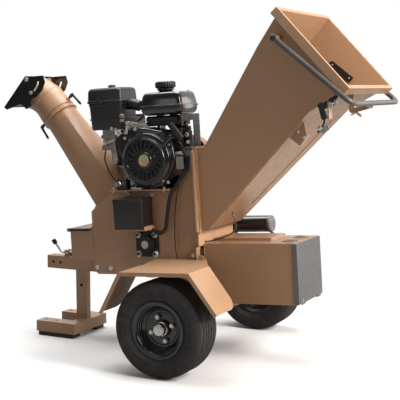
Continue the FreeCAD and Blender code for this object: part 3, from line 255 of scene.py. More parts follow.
TAN_COLOR = (0.37, 0.210, 0.114)
TAN = finish("tan_paint", TAN_COLOR, 0.36, vary=0.05, patch=3.0, grain=420, relief=0.10, coat=0.12,
             wear=(0.80, 0.62, 0.45), wear_amount=0.35, dust=0.3)
PALE_TAN = finish("tan_paint_inside", (0.50, 0.290, 0.170), 0.42, vary=0.06, patch=4.0, grain=420, dust=0.15)
BLACK = finish("black_enamel", (0.006, 0.006, 0.007), 0.20, vary=0.2, patch=8.0, grain=500, relief=0.06,
               coat=0.5, wear=(0.16, 0.16, 0.17), wear_amount=0.4)
SATIN_BLACK = finish("satin_black", (0.008, 0.008, 0.008), 0.34, vary=0.2, patch=8.0, grain=600,
                     relief=0.18, wear=(0.12, 0.12, 0.12), wear_amount=0.25)
PLASTIC = finish("moulded_black_plastic", (0.009, 0.008, 0.008), 0.40, vary=0.15, grain=1100, relief=0.35,
                 wear=(0.06, 0.06, 0.06), wear_amount=0.3)
BROWN_PLASTIC = finish("battery_case", (0.012, 0.009, 0.008), 0.38, vary=0.15, grain=900, relief=0.2)
ZINC = finish("zinc_plate", (0.66, 0.63, 0.58), 0.3, metal=0.95, vary=0.12, patch=40, grain=700, relief=0.1)
CHROME = finish("cap_chrome", (0.55, 0.53, 0.50), 0.22, metal=1.0, vary=0.05, patch=20, relief=0.03)
STEEL = finish("worn_steel", (0.42, 0.40, 0.38), 0.38, metal=0.9, vary=0.2, patch=18, grain=500,
               relief=0.2, brushed=(1, 8, 1))
CAST = finish("cast_iron", (0.014, 0.013, 0.013), 0.45, metal=0.35, vary=0.25, grain=700, relief=0.5,
              depth=0.0008, dust=0.2)
CASE = finish("engine_casting", (0.010, 0.010, 0.011), 0.38, metal=0.4, vary=0.25, grain=520, relief=0.45,
              depth=0.0007)
ALLOY = finish("bare_alloy", (0.36, 0.32, 0.28), 0.32, metal=0.85, vary=0.2, patch=30, grain=600, relief=0.3)
GREY = finish("grey_panel", (0.085, 0.083, 0.086), 0.5, vary=0.08, patch=4, grain=900, relief=0.25,
              wear=(0.25, 0.24, 0.23), wear_amount=0.4)
BAR_GREY = finish("bar_grey", (0.075, 0.068, 0.065), 0.4, vary=0.12, patch=12, grain=700, relief=0.1,
                  wear=(0.3, 0.29, 0.28), wear_amount=0.3)
HOSE = finish("black_hose", (0.007, 0.007, 0.007), 0.42, vary=0.1, grain=900, relief=0.2)
GLOSS = finish("gloss_black", (0.010, 0.010, 0.011), 0.14, vary=0.2, patch=6.0, grain=300, relief=0.04,
               coat=0.8, wear=(0.14, 0.14, 0.15), wear_amount=0.3)
# Grey of the motor's end cap. The same lighter grey on the rear panel's side flanges is painted light: it
# makes those shaded faces look lit.
GREY_CAP_AND_LIT_FLANGE = finish("motor_end_cap_and_lit_flange_grey", (0.15, 0.145, 0.15), 0.45, metal=0.3, vary=0.08, grain=700, relief=0.2)
GOLD = finish("pale_badge", (0.45, 0.38, 0.19), 0.4, metal=0.5, vary=0.1, patch=30)
RUBBER = tyre_rubber()


# ---- mesh kit ----------------------------------------------------------------
def basis(axis):
    """Two directions square to axis, and axis itself, all of unit length."""
    w = Vector(axis).normalized()
    side = Vector(UP) if abs(w.z) < 0.9 else Vector(REAR)
    u = side.cross(w).normalized()
    return u, w.cross(u), w


class Kit:
    """Collects the closed shells of one piece, in millimetres."""

    def __init__(self):
        self.verts, self.faces, self.slots = [], [], []

    def add(self, verts, faces, mat=0):
        base = len(self.verts)
        self.verts += [tuple(v) for v in verts]
        self.faces += [[base + i for i in f] for f in faces]
        self.slots += [mat] * len(faces)
        return self

    def rings(self, rings, mat=0, closed=True, caps=True):
        """Skin through rings of equal count; caps close the two ends."""
        count = len(rings[0])
        faces = []
        last = count if closed else count - 1
        for k in range(len(rings) - 1):
            for i in range(last):
                j = (i + 1) % count
                faces.append([k * count + i, k * count + j, (k + 1) * count + j, (k + 1) * count + i])
        if caps:
            faces += [list(range(count))[::-1], [(len(rings) - 1) * count + i for i in range(count)]]
        return self.add([p for ring in rings for p in ring], faces, mat)

    def prism(self, outline, low, high, axis="y", mat=0):
        """Outline in the two other axes, extruded along axis from low to high."""
        place = {"x": lambda a, b, t: (t, a, b), "y": lambda a, b, t: (a, t, b),
                 "z": lambda a, b, t: (a, b, t)}[axis]
        return self.rings([[place(a, b, t) for a, b in outline] for t in (low, high)], mat)

    def block(self, x0, x1, y0, y1, z0, z1, mat=0):
        return self.prism([(x0, z0), (x1, z0), (x1, z1), (x0, z1)], y0, y1, "y", mat)

    def lathe(self, centre, axis, profile, seg=48, mat=0, caps=True, loop=False):
        """Profile of (distance along axis, radius) turned about the axis through centre."""
        u, v, w = basis(axis)
        centre = Vector(centre)
        rows = list(profile) + ([profile[0]] if loop else [])
        rings = []
        for t, r in rows:
            turn = [2 * math.pi * i / seg for i in range(seg)]
            rings.append([centre + w * t + (u * math.cos(a) + v * math.sin(a)) * max(r, 0.05)
                          for a in turn])
        return self.rings(rings, mat, caps=caps and not loop)

    def tube(self, path, radius, seg=12, mat=0, radii=None):
        """Round bar along a path of points, its ends closed."""
        points = [Vector(p) for p in path]
        rings, u = [], None
        for i, p in enumerate(points):
            before = points[max(i - 1, 0)]
            after = points[min(i + 1, len(points) - 1)]
            w = (after - before).normalized()
            if u is None:
                u = basis(w)[0]
            u = (u - w * u.dot(w)).normalized()
            v = w.cross(u)
            r = radii[i] if radii else radius
            rings.append([p + (u * math.cos(a) + v * math.sin(a)) * r
                          for a in (2 * math.pi * k / seg for k in range(seg))])
        return self.rings(rings, mat)

    def stack(self, low, high, rows, mat=0, base=0, steps=6):
        """Rounded rectangle from low to high, at each (height above base, inset, radius)."""
        return self.rings([[(a, b, base + z) for a, b in
                            rounded_box((low[0] + d, low[1] + d), (high[0] - d, high[1] - d), r, steps)]
                           for z, d, r in rows], mat)

    def slab(self, centre, normal, along, length, width, thick, radius=3, mat=0):
        """Thin plate with round corners lying on a surface."""
        w = Vector(normal).normalized()
        u = Vector(along)
        u = (u - w * w.dot(u)).normalized()
        v = w.cross(u)
        outline = rounded_box((-length / 2, -width / 2), (length / 2, width / 2), radius, 3)
        centre = Vector(centre)
        return self.rings([[centre + u * a + v * b + w * t for a, b in outline] for t in (0, thick)], mat)

    def hexagon(self, centre, axis, flats, low, high, mat=0):
        corner = flats / math.sqrt(3)
        chamfer = flats * 0.06
        rows = [(low, corner), (high - chamfer, corner), (high, corner - chamfer * 1.6)]
        return self.lathe(centre, axis, rows, 6, mat)

    def bolt(self, centre, axis, flats=13, height=6, washer=True, mat=0):
        if washer:
            self.lathe(centre, axis, [(0, flats * 0.62), (1.2, flats * 0.62)], 20, mat)
        return self.hexagon(centre, axis, flats, 1.0 if washer else 0, height + 1, mat)


def rounded(points, radius, steps=5):
    """A path or outline with each inner corner turned into an arc-like bend."""
    points = [Vector(p) for p in points]
    out = [points[0]]
    for a, b, c in zip(points, points[1:], points[2:]):
        reach = min(radius, (a - b).length * 0.45, (c - b).length * 0.45)
        start = b + (a - b).normalized() * reach
        stop = b + (c - b).normalized() * reach
        for i in range(steps + 1):
            t = i / steps
            out.append(start * (1 - t) ** 2 + b * 2 * t * (1 - t) + stop * t * t)
    return out + [points[-1]]


def trail(base, *steps):
    """A path of points, each given as an offset from base."""
    return [Vector(base) + Vector(step) for step in steps]


def rounded_box(low, high, radius, steps=4):
    """Outline of a rectangle with round corners, as (a, b) pairs."""
    (a0, b0), (a1, b1) = low, high
    corners = [(a1 - radius, b1 - radius, 0), (a0 + radius, b1 - radius, 90),
               (a0 + radius, b0 + radius, 180), (a1 - radius, b0 + radius, 270)]
    points = []
    for a, b, start in corners:
        for i in range(steps + 1):
            turn = math.radians(start + 90 * i / steps)
            points.append((a + radius * math.cos(turn), b + radius * math.sin(turn)))
    return points


def piece(kit, name, body, mats, bevel=0.0, replaces=(), level=False, segments=2, limit=32):
    """Turns a kit into an object that rides on a CAD body."""
    mesh = bpy.data.meshes.new(name)
    matrix = LEVEL if level else PITCHED
    mesh.from_pydata([matrix @ Vector(v) for v in kit.verts], [], kit.faces)
    for polygon, slot in zip(mesh.polygons, kit.slots):
        polygon.material_index = slot
    return place(mesh, name, body, mats, bevel, replaces, segments, limit)


def place(mesh, name, body, mats, bevel, replaces, segments=2, limit=32):
    bm = bmesh.new()
    bm.from_mesh(mesh)
    bmesh.ops.recalc_face_normals(bm, faces=bm.faces)
    bm.to_mesh(mesh)
    bm.free()
    for mat in mats if isinstance(mats, (list, tuple)) else [mats]:
        mesh.materials.append(mat)
    mesh.shade_smooth()
    obj = add_object(name, mesh)
    if bevel:
        mod = obj.modifiers.new("edges", "BEVEL")
        mod.width = bevel * MM
        mod.segments = segments
        mod.limit_method = "ANGLE"
        mod.angle_limit = math.radians(limit)
        mod.harden_normals = True
    else:
        mesh.set_sharp_from_angle(angle=math.radians(limit))
    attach(obj, body)
    if replaces:
        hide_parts(*replaces)
    return obj


def refine(node, mat, bevel=1.0, segments=2, dissolve=2.0):
    """A CAD node's own shape with clean flat faces and softened edges."""
    source = frame["nodes"][node].data
    bm = bmesh.new()
    bm.from_mesh(source)
    bmesh.ops.remove_doubles(bm, verts=bm.verts, dist=2e-5)
    bmesh.ops.dissolve_limit(bm, angle_limit=math.radians(dissolve), verts=bm.verts, edges=bm.edges)
    mesh = bpy.data.meshes.new(node + "_skin")
    bm.to_mesh(mesh)
    bm.free()
    if "custom_normal" in mesh.attributes:
        mesh.attributes.remove(mesh.attributes["custom_normal"])
    body = frame["nodes"][node]["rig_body"]
    return place(mesh, node + "_skin", body, mat, bevel, [node], segments)


# ---- wheels ------------------------------------------------------------------
def wheel(side_name):
    low, high = upright(side_name + "_tyre")
    centre = (low + high) / 2
    out = Vector((0, -1 if centre.y < 0 else 1, 0))
    radius, half = (high.z - low.z) / 2, (high.y - low.y) / 2
    body = side_name + "_wheel"
    crown = radius - 0.4
    tread = [(-half + 14, crown - 6), (-half + 26, crown - 2.5)]
    for rib in (-2, -1, 0, 1, 2):
        mid, wide = rib * 22.5, 8.4
        tread += [(mid - wide - 1.2, crown - 8), (mid - wide, crown - 0.9), (mid, crown),
                  (mid + wide, crown - 0.9), (mid + wide + 1.2, crown - 8)]
    tread += [(half - 26, crown - 2.5), (half - 14, crown - 6)]
    wall = [(half - 7, crown - 13), (half - 2.5, 176), (half, 164), (half + 0.6, 160), (half, 156),
            (half - 0.6, 150), (half - 2, 143), (half - 1.2, 141), (half - 4, 136), (half - 8, 129),
            (half - 12, 123), (half - 14, 118), (half - 17, 113), (half - 17, 103)]
    profile = [(-t, r) for t, r in reversed(wall)] + tread + wall + [(50, 102), (-50, 102)]
    kit = Kit().lathe(centre, out, profile, 144, loop=True)
    piece(kit, side_name + "_tyre_detail", body, RUBBER, replaces=[side_name + "_tyre"], limit=28)

    shell = [(67, 97), (66, 106), (67.5, 115), (70, 118), (72.5, 116.5), (73, 112), (71.5, 105), (69, 99.5),
             (66, 97.5), (58, 96.8), (55, 93), (48, 92.4), (45, 89), (38, 88.4), (34.5, 85), (31, 81),
             (RIM_FACE + 0.5, 78), (RIM_FACE + 3, 74), (RIM_FACE + 3, 68), (RIM_FACE, 64), (RIM_FACE, 36),
             (22, 36), (22, 82), (-26, 84), (-32, 94), (-62, 94.5), (-70, 100), (-73, 112),
             (-70, 118), (-66, 112), (-64, 101.3), (64, 101.3)]
    rim = Kit().lathe(centre, out, shell, 96, loop=True)
    piece(rim, side_name + "_rim_detail", body, BLACK, bevel=0.6, replaces=[side_name + "_rim"])
    refine(side_name + "_hub", SATIN_BLACK, 0.8)
    wheel_nuts(side_name, centre, out)
    cap_rows = [(40.2, 29), (42.5, 29), (43.5, 26), (60, 25.4), (63.5, 24.4), (65.4, 22), (66, 19), (66, 0)]
    cap = Kit().lathe(centre, out, cap_rows, 64)
    piece(cap, side_name + "_cap_detail", body, CHROME, bevel=0.4, replaces=[side_name + "_hub_cap"])


def wheel_nuts(side_name, centre, out):
    """Lug nuts on their bolt circle, turned to where the CAD nuts sit."""
    arms = [complex(p.x - centre.x, p.z - centre.z) for p in points(side_name + "_lug_nuts")]
    swing = sum(arm ** LUGS / abs(arm) ** LUGS for arm in arms)
    first = math.atan2(swing.imag, swing.real) / LUGS
    kit = Kit()
    for i in range(LUGS):
        a = first + i * math.tau / LUGS
        spot = centre + out * RIM_FACE + Vector((LUG_RADIUS * math.cos(a), 0, LUG_RADIUS * math.sin(a)))
        kit.lathe(spot, out, [(0, 12), (1.5, 12), (3, 10)], 24, 1)
        kit.hexagon(spot, out, 19, 2, 14)
        kit.lathe(spot, out, [(10, 5.6), (17.2, 5.6), (18, 4.8)], 16)
    piece(kit, side_name + "_nuts_detail", side_name + "_wheel", [ZINC, SATIN_BLACK], bevel=0.5,
          replaces=[side_name + "_lug_nuts"])


# ---- sheet metal that keeps its CAD shape ------------------------------------
def sheet_metal():
    skins = (
        ("near_side_plate far_side_plate engine_deck front_box near_fender far_fender axle belt_guard "
         "hopper_hinge rear_box drawbar", TAN, 1.0),
        ("feed_box drum_casing", PALE_TAN, 0.6),
        ("stand_post", TAN, 1.6),
        ("stand_pads", HOSE, 1.5),
        ("front_lid", TAN, 0.6),
        ("rear_panel", GREY, 1.0),
        ("frame_bolts", ZINC, 0.7),
        ("feed_gearbox", CASE, 2.0),
        ("drum_rotor drum_knives bed_knife feed_roller", STEEL, 0.6),
        ("engine_pulley drum_pulley", CAST, 0.6),
        ("drive_belts", HOSE, 0.5),
    )
    for names, mat, bevel in skins:
        for node in names.split():
            refine(node, mat, bevel)


def weld(kit, start, stop, size=4.0, mat=0):
    """A rippled bead of weld along a straight joint."""
    start, stop = Vector(start), Vector(stop)
    length = (stop - start).length
    count = max(4, int(length / 3))
    path = [start.lerp(stop, i / count) for i in range(count + 1)]
    sizes = [size * (0.82 + 0.18 * math.cos(i * math.pi)) for i in range(count + 1)]
    return kit.tube(path, size, 6, mat, radii=sizes)


# ---- chute, elbow and hood ---------------------------------------------------
def chute_axis():
    """Foot of the chute on its axis, the direction up it, across it, and its length."""
    origin, up = joint_point("chute_turn"), joint_way("chute_turn")
    up = up if up.z > 0 else -up
    reach = [(p - origin).dot(up) for p in points("chute")]
    return origin + up * min(reach), up, Y_WAY.cross(up), max(reach) - min(reach)


def chute():
    foot, up, across, length = chute_axis()
    neck = length - 44

    def ring(t, square, r, width=140, depth=240):
        out = []
        for i in range(96):
            c, s = math.cos(math.tau * i / 96), math.sin(math.tau * i / 96)
            k = 1 / max(abs(c), abs(s))
            a = c * (k * width / 2 * square + r * (1 - square))
            b = s * (k * depth / 2 * square + r * (1 - square))
            out.append(foot + up * t + across * a + Y_WAY * b)
        return out

    rows = [ring(3 + (neck - 3) * i / 14, 1 - i / 14, 78) for i in range(15)]
    rows += [ring(neck + 1, 0, 80), ring(length - 1, 0, 80), ring(length, 0, 79)]
    kit = Kit().rings(rows)
    kit.rings([ring(0, 1, 0, 172, 300), ring(6.5, 1, 0, 172, 300)])
    collar = [(0, 78), (0.5, 84), (2, 86.5), (6, 86.5), (7.5, 84), (8, 78)]
    kit.lathe(foot + up * (neck - 1), up, collar, 72)
    for side in (-1, 1):
        for a in (-62, 62):
            kit.bolt(foot + up * 6.5 + across * a + Y_WAY * side * CHUTE_FACE, up, 13, 7, mat=1)
    piece(kit, "chute_duct", BODY, [TAN, ZINC], bevel=1.0, replaces=["chute"], limit=40)


def elbow():
    foot, up, across, length = chute_axis()
    pivot = joint_point("deflector_tilt")
    out = Vector((-0.852, 0, 0.524)).normalized()
    mouth = pivot + Vector((-20, 0, -56))
    knee = foot + up * (length + 62)

    def ring(point, way, r):
        w = way.normalized()
        side = Vector((w.z, 0, -w.x)) / max(w.dot(up), w.dot(out))
        return [point + side * (r * math.cos(math.tau * i / 72)) + Y_WAY * (r * math.sin(math.tau * i / 72))
                for i in range(72)]

    outer = ((-20, 82), (-19, 84), (4, 83), (30, 80.5), (40, 79.8))
    rows = [ring(foot + up * (length + t), up, r) for t, r in outer]
    rows += [ring(knee, up + out, 79.5), ring(mouth - out, out, 79.5), ring(mouth, out, 78.5),
             ring(mouth, out, 75.5), ring(knee, up + out, 75.5), ring(foot + up * (length + 6), up, 75.5),
             ring(foot + up * (length + 4), up, 81), ring(foot + up * (length - 20), up, 81)]
    rows.append(rows[0])
    kit = Kit().rings(rows, caps=False)
    kit.tube(ring(knee, up + out, 79.8) + ring(knee, up + out, 79.8)[:1], 1.7, 6)
    for side in (-1, 1):
        ear = [(pivot.x + 10 * math.cos(a), pivot.z + 10 * math.sin(a))
               for a in (math.radians(15 + 15 * i) for i in range(12))]
        ear += [(pivot.x - 9, pivot.z - 60), (pivot.x + 10, pivot.z - 84), (pivot.x + 36, pivot.z - 60)]
        kit.prism(ear, *sorted((side * 74, side * 88)))
        stud = pivot + Vector((66 * math.cos(math.radians(-72)), 0, 66 * math.sin(math.radians(-72))))
        for at, flats in ((stud, 13), (pivot, 15)):
            kit.tube([at + Y_WAY * side * 70, at + Y_WAY * side * 104], 4.5, 12, 1)
            washer = [(0, flats * 0.72), (1.4, flats * 0.72)]
            kit.lathe(at + Y_WAY * side * 96.4, Y_WAY * side, washer, 24, 1)
            kit.hexagon(at + Y_WAY * side * 97.6, Y_WAY * side, flats, 0, 5, 1)
    kit.tube([pivot + Y_WAY * -90, pivot + Y_WAY * 90], 6, 14, 1)
    for sign in (-1, 1):
        boss = foot + up * (length - 7) + across * sign * 84
        kit.lathe(boss, across * sign, [(0, 11), (5, 11), (6, 9.5)], 20)
    piece(kit, "elbow_tube", "elbow", [TAN, ZINC], bevel=0.8, replaces=["chute_elbow"], limit=40)


def clamp_lever(name, sign):
    foot, up, across, length = chute_axis()
    base, out = foot + up * (length - 7), across * sign
    hang = Vector((0.37, 0, -0.93)) if sign < 0 else Vector((0.73, 0, -0.68))
    hang = (hang - out * hang.dot(out) * 0.6).normalized()
    corner = base + out * 118
    kit = Kit().tube([base + out * 82, corner - out * 12], 5, 14)
    kit.tube([corner - out * 18, corner - out * 8, corner, corner + out * 5], 8, 16, 0, [7.5, 8, 7.5, 5])
    path = [corner - out * 3] + [corner + hang * t for t in (12, 34, 56, 64)]
    kit.tube(path, 6, 16, 0, [6.5, 6, 5.2, 6, 4])
    piece(kit, name + "_handle", name.replace("_lever", ""), SATIN_BLACK, bevel=0.5, replaces=[name])


# ---- engine ------------------------------------------------------------------
def recoil():
    """Pressed starter cover: swirled louvres round a plain centre disc."""
    crank = joint_point("crank_spin")
    face = upright("recoil_starter")[0].y
    rows = [(0.1, 0), (29, 0), (33, 0.6), (35.5, 3), (36, 5.5), (42, 5.2), (49, 5)]
    rows += [(51 + 4 * i, 5 - 0.1 * i) for i in range(10)]
    rows += [(90, 4.4), (95, 5), (97, 8), (101, 8.6), (103, 7.2), (107, 8.4), (109, 11), (113, 12), (116, 16),
             (118, 23), (119, 27), (122, 28), (122, 33)]
    count, rings = 240, []
    for r, deep in rows:
        ring = []
        for i in range(count):
            a = math.tau * i / count
            share = (i * 20 / count + (r - 50) * 0.012) % 1
            sunk = 6.5 if 53 < r < 86 and share < 0.42 else 0
            ring.append((crank.x + r * math.cos(a), face + deep + sunk, crank.z + r * math.sin(a)))
        rings.append(ring)
    kit = Kit().rings(rings)
    for disc in ([(0, 25.5), (0.9, 25.5), (0.9, 21.5), (0.5, 21)], [(0, 19), (0.7, 18.5)]):
        kit.lathe((crank.x, face + 0.4, crank.z), NEAR, disc, 48, 1)
    for turn in (40, 130, 220, 310):
        a = math.radians(turn)
        at = (crank.x + STARTER_RADIUS * math.cos(a), face + 25, crank.z + STARTER_RADIUS * math.sin(a))
        kit.bolt(at, NEAR, 10, 4, mat=2)
    neck = [(crank.x + 88, face + 20, crank.z + 62), (crank.x + 133, face + 20, crank.z + 100)]
    kit.tube(neck, 13, 24, 0)
    piece(kit, "recoil_cover", BODY, [BLACK, GOLD, ZINC], replaces=["recoil_starter"], limit=40)


def air_filter():
    low, high = upright("air_filter")
    x0, x1, y0, y1 = low.x, low.x + 181, low.y, high.y
    seam, top = low.z + 126, high.z - 14
    kit = Kit()
    tray = [(0, 16, 14), (8, 11, 16), (104, 7, 18), (106, 5, 18), (126, 5, 18)]
    lid = [(seam - 8, 1.5, 18), (seam - 6, 0, 18), (seam + 1, 0, 18), (seam + 4, 3, 17), (seam + 42, 5, 17),
           (seam + 50, 8, 16), (top - 2, 15, 14), (top, 24, 12), (top, 40, 8)]
    band = [(44, 6, 18), (46, 4.5, 18), (49, 4.5, 18), (51, 6.5, 18)]
    for rows, base in ((tray, low.z), (lid, 0), (band, low.z)):
        kit.stack((x0, y0), (x1, y1), rows, base=base)
    centre = Vector(((x0 + x1) / 2, (y0 + y1) / 2, top))
    kit.lathe(centre, UP, [(-1, 16), (3, 14), (4, 9), (12, 8), (14, 6)], 24)
    for wing in (-1, 1):
        kit.slab(centre + Vector((wing * 12, 0, 7)), (0, 1, 0), (1, 0, 0.3 * wing), 16, 8, 3)
    kit.block(x0 + 52, x0 + 84, y0 - 1, y0 + 8, seam - 16, seam + 12, 0)
    kit.block(x0 + 56, x0 + 80, y0 - 3, y0 + 2, seam - 10, seam + 6, 0)
    snorkel = [(x, centre.y, z) for x, z in ((x1 - 8, seam - 18), (x1 + 20, seam - 20), (high.x, seam - 30))]
    kit.tube(rounded(snorkel, 16), 24, 24)
    piece(kit, "air_filter_box", BODY, PLASTIC, bevel=1.2, replaces=["air_filter"], limit=40)


def fuel_tank():
    low, high = upright("fuel_tank")
    x0, x1, y0, y1 = low.x, high.x, low.y, high.y
    top = low.z + 100
    kit = Kit()
    rows = [(0, 26, 20), (3, 16, 24), (12, 8, 24), (26, 5, 22), (36, 4.5, 22), (36.5, 0.5, 24),
            (39, 0, 24), (42.5, 0, 24), (43.5, 1, 24), (44, 5, 22), (60, 7, 22), (84, 12, 22),
            (94, 17, 20), (98.5, 25, 17), (100, 38, 14)]
    kit.stack((x0, y0), (x1, y1), rows, base=low.z, steps=8)
    cap = joint_point("fuel_cap_turn")
    kit.lathe((cap.x, cap.y, top - 3), UP, [(0, 40), (3, 38), (5, 31), (9, 29), (9, 27)], 40)
    kit.lathe((x1 - 34, y1 - 40, top - 2), UP, [(0, 8), (4, 8), (5, 6)], 20, 1)
    piece(kit, "fuel_tank_shell", BODY, [GLOSS, ZINC], replaces=["fuel_tank"], limit=50)
    ribs = Kit()
    rest = high.z + 0.2
    count = 144
    profile = [(0, 33, 0), (1, 36, 0), (10, 36, 0), (13, 42, 0.6), (15, 44, 1), (33, 44, 1),
               (36, 42.5, 0.5), (39, 39, 0), (40, 36, 0), (39, 24, 0), (39, 0, 0)]
    rings = []
    for t, r, grip in profile:
        turns = [(r + grip * math.cos(math.tau * i / 6), math.tau * i / count) for i in range(count)]
        rings.append([(cap.x + wide * math.cos(a), cap.y + wide * math.sin(a), rest + t)
                      for wide, a in turns])
    ribs.rings(rings)
    piece(ribs, "fuel_cap_ribbed", "cap", PLASTIC, replaces=["fuel_cap"], limit=40)


def engine():
    refine("engine_block", CASE, 2.0)
    refine("fan_shroud", BLACK, 5.0, 4)
    refine("muffler", CASE, 2.5)
    refine("throttle_lever", ZINC, 0.6)
    recoil()
    air_filter()
    fuel_tank()
    fuel_system()
    engine_fittings()


def coil(start, stop, radius, turns):
    """Path of a small tension spring."""
    start, stop = Vector(start), Vector(stop)
    u, v, _ = basis(stop - start)
    steps = turns * 10
    return [start.lerp(stop, i / steps) + (u * math.cos(i * 0.628) + v * math.sin(i * 0.628)) * radius
            for i in range(steps + 1)]


def fuel_system():
    """Carburettor with float bowl, inlet pipe, choke lever and fuel hose."""
    low, high = upright("carburettor")
    bowl = Vector((low.x + 64, low.y + 32, low.z))
    kit = Kit()
    flanges = [(52, 3, 6), (54, 0, 8), (74, 0, 8), (76, 6, 8), (104, 6, 8), (106, 0, 8), (120, 0, 8)]
    kit.stack((low.x + 4, low.y + 4), (low.x + 84, low.y + 60), flanges, base=low.z)
    kit.lathe(bowl, UP, [(0, 6), (1, 12), (4, 18), (10, 21), (44, 22), (46, 24), (52, 24)], 32)
    kit.hexagon(bowl, DOWN, 11, -1, 6, 1)
    kit.lathe((low.x + 30, low.y + 6, low.z + 88), NEAR, [(0, 11), (9, 11), (11, 7), (16, 6)], 20, 1)
    kit.slab((low.x + 60, low.y + 1, low.z + 92), NEAR, (1, 0, 0.3), 44, 12, 2, mat=1)
    kit.tube([(low.x + 55, low.y + 70, low.z + 77), (low.x + 55, high.y, low.z + 77)], 13, 20)
    kit.block(low.x + 14, low.x + 78, low.y + 8, low.y + 58, low.z + 119, high.z + 4)
    piece(kit, "carburettor_body", BODY, [ALLOY, ZINC], bevel=0.8, replaces=["carburettor"])
    hose = Kit()
    path = trail(bowl, (22, 0, 30), (44, -6, 20), (52, -10, 60), (70, -14, 110), (90, 0, 150), (140, 20, 195))
    hose.tube(rounded(path, 22), 5, 12)
    lead = trail(bowl, (-44, -10, 60), (-56, -16, 10), (-30, -10, -60), (10, 0, -112))
    hose.tube(rounded(lead, 50, 8), 3, 8)
    piece(hose, "fuel_hoses", BODY, HOSE)


def engine_fittings():
    """Governor plate, springs, rods and bright bolts between tank and shroud."""
    shroud, _ = upright("fan_shroud")
    front = shroud.y + 44
    kit = Kit()
    plate = [(-312, 996), (-300, 1022), (-226, 1030), (-199, 1000), (-222, 994), (-236, 1008), (-290, 1004)]
    kit.prism(plate, front, front + 2.5)
    kit.block(-292, -206, front, front + 30, 1024, 1027)
    for x, z in ((-296, 1012), (-216, 1012), (-141, 1000), (-87, 992)):
        kit.bolt((x, front, z), NEAR, 11, 6)
    for x, z in ((-300, 960), (-88, 926), (-246, 996), (-186, 756), (-100, 764), (-88, 896)):
        kit.bolt((x, shroud.y, z), NEAR, 12, 5)
    for x, z, flats in ((-52, 966, 14), (-18, 962, 16), (-14, 930, 12)):
        kit.bolt((x, -160, z), NEAR, flats, 8)
    kit.tube([(-316, front - 4, 1030), (-262, front - 6, 1000), (-210, front - 4, 1004)], 1.6, 6)
    kit.tube([(-330, front - 8, 1008), (-268, front - 10, 1018)], 2.2, 8)
    kit.tube(coil((-300, front - 12, 1030), (-240, front - 12, 1016), 3.6, 12), 0.8, 5)
    kit.tube(coil((-372, front - 20, 1004), (-318, front - 14, 996), 3.2, 10), 0.8, 5)
    lug = [(0, 4, 6), (2, 2, 8), (32, 0, 8), (36, 3, 8)]
    kit.stack((-356, front - 30), (-316, front - 4), lug, 1, base=1030)
    for x, z in ((-372, 1006), (-352, 1000), (-338, 984)):
        kit.lathe((x, front - 26, z), NEAR, [(0, 8), (8, 8), (10, 5)], 18)
    piece(kit, "governor_linkage", BODY, [ZINC, ALLOY], bevel=0.4)

    black = Kit()
    black.stack((-226, -142), (-64, -24), [(1004, 4, 8), (1008, 0, 10), (1040, 0, 10), (1048, 6, 8)])
    black.stack((-96, -160), (-42, -84), [(902, 4, 8), (906, 0, 10), (986, 0, 10), (992, 4, 10)])
    black.lathe((-26, -130, 912), UP, [(0, 14), (2, 17), (64, 17), (66, 14), (84, 13), (88, 9)], 28)
    black.tube([(-96, -110, 1004), (-40, -110, 1004)], 12, 20)
    black.block(-60, -8, -160, -100, 918, 926)
    black.tube(rounded([(-60, -150, 905), (-30, -170, 890), (-16, -182, 850), (-34, -186, 800)], 30), 6, 12)
    black.tube(rounded([(-70, -160, 940), (-40, -188, 930), (-14, -186, 890)], 20), 4, 10)
    black.slab((-40, -196, 845), NEAR, (1, 0, 0.02), 34, 54, 5, 4, 1)
    black.block(-60, -24, -192, -150, 812, 878)
    piece(black, "engine_controls", BODY, [PLASTIC, ALLOY], bevel=0.8)


# ---- electrics ---------------------------------------------------------------
def electrics():
    low, high = upright("battery")
    kit = Kit()
    base = ((low.x + 2, low.y + 2), (high.x - 2, high.y - 2))
    kit.stack(*base, [(low.z, 1, 5), (low.z + 2, 0, 6), (high.z - 22, 0, 6)])
    kit.stack((low.x, low.y), (high.x, high.y), [(high.z - 24, 1, 6), (high.z - 23, 0, 7), (high.z - 6, 0, 7),
              (high.z - 2, 2, 7), (high.z, 7, 6)])
    for x in (low.x + 34, high.x - 34):
        kit.lathe((x, low.y + 26, high.z - 1), UP, [(0, 9), (3, 8)], 20)
    piece(kit, "battery_case_detail", BODY, BROWN_PLASTIC, bevel=1.5, replaces=["battery"], segments=3)

    box_low, box_high = upright("control_box")
    gauge = Kit()
    rows = [(box_low.z, 2, 6), (box_low.z + 2, 0, 7), (box_high.z - 6, 0, 7), (box_high.z, 5, 6)]
    gauge.stack((box_low.x, box_low.y + 6), (box_high.x, box_high.y), rows)
    barrel = joint_point("key_turn")
    lock = [(0, 11), (3, 11), (5, 9.5), (5, 6), (3, 5.5)]
    gauge.lathe((barrel.x, box_low.y + 6, barrel.z), NEAR, lock, 28, 1)
    x, z = box_high.x - 16, box_high.z - 20
    gauge.lathe((x, box_low.y + 6, z), NEAR, [(0, 13), (2, 13), (3, 11), (1.5, 10)], 28)
    gauge.lathe((x, box_low.y + 4.6, z), NEAR, [(0, 9.8), (0.5, 9.6)], 28, 2)
    piece(gauge, "hour_meter_box", BODY, [PLASTIC, ZINC, GREY], bevel=0.8, replaces=["control_box"])
    refine("ignition_key", ZINC, 0.8)

    cables = Kit()
    foot = (high.x, low.y + 76, low.z)
    for shift in (0, 8):
        path = trail(foot, (-6, 0, 2), (14, 0, -16 - shift), (48, -3, -20 - shift), (66 + shift, -3, -4),
                     (78 + shift, -3, 60), (96 + shift, -3, 140), (132 + shift, -3, 186),
                     (180 + shift, 0, 244), (186, 30, 300))
        cables.tube(rounded(path, 26, 6), 5.2, 14)
    thin = trail(foot, (150, 0, 210), (132, 4, 150), (112, 6, 60), (104, 8, -50), (106, 8, -110),
                 (112, 8, -148))
    cables.tube(rounded(thin, 40, 6), 2.4, 10)
    piece(cables, "battery_cables", BODY, HOSE)


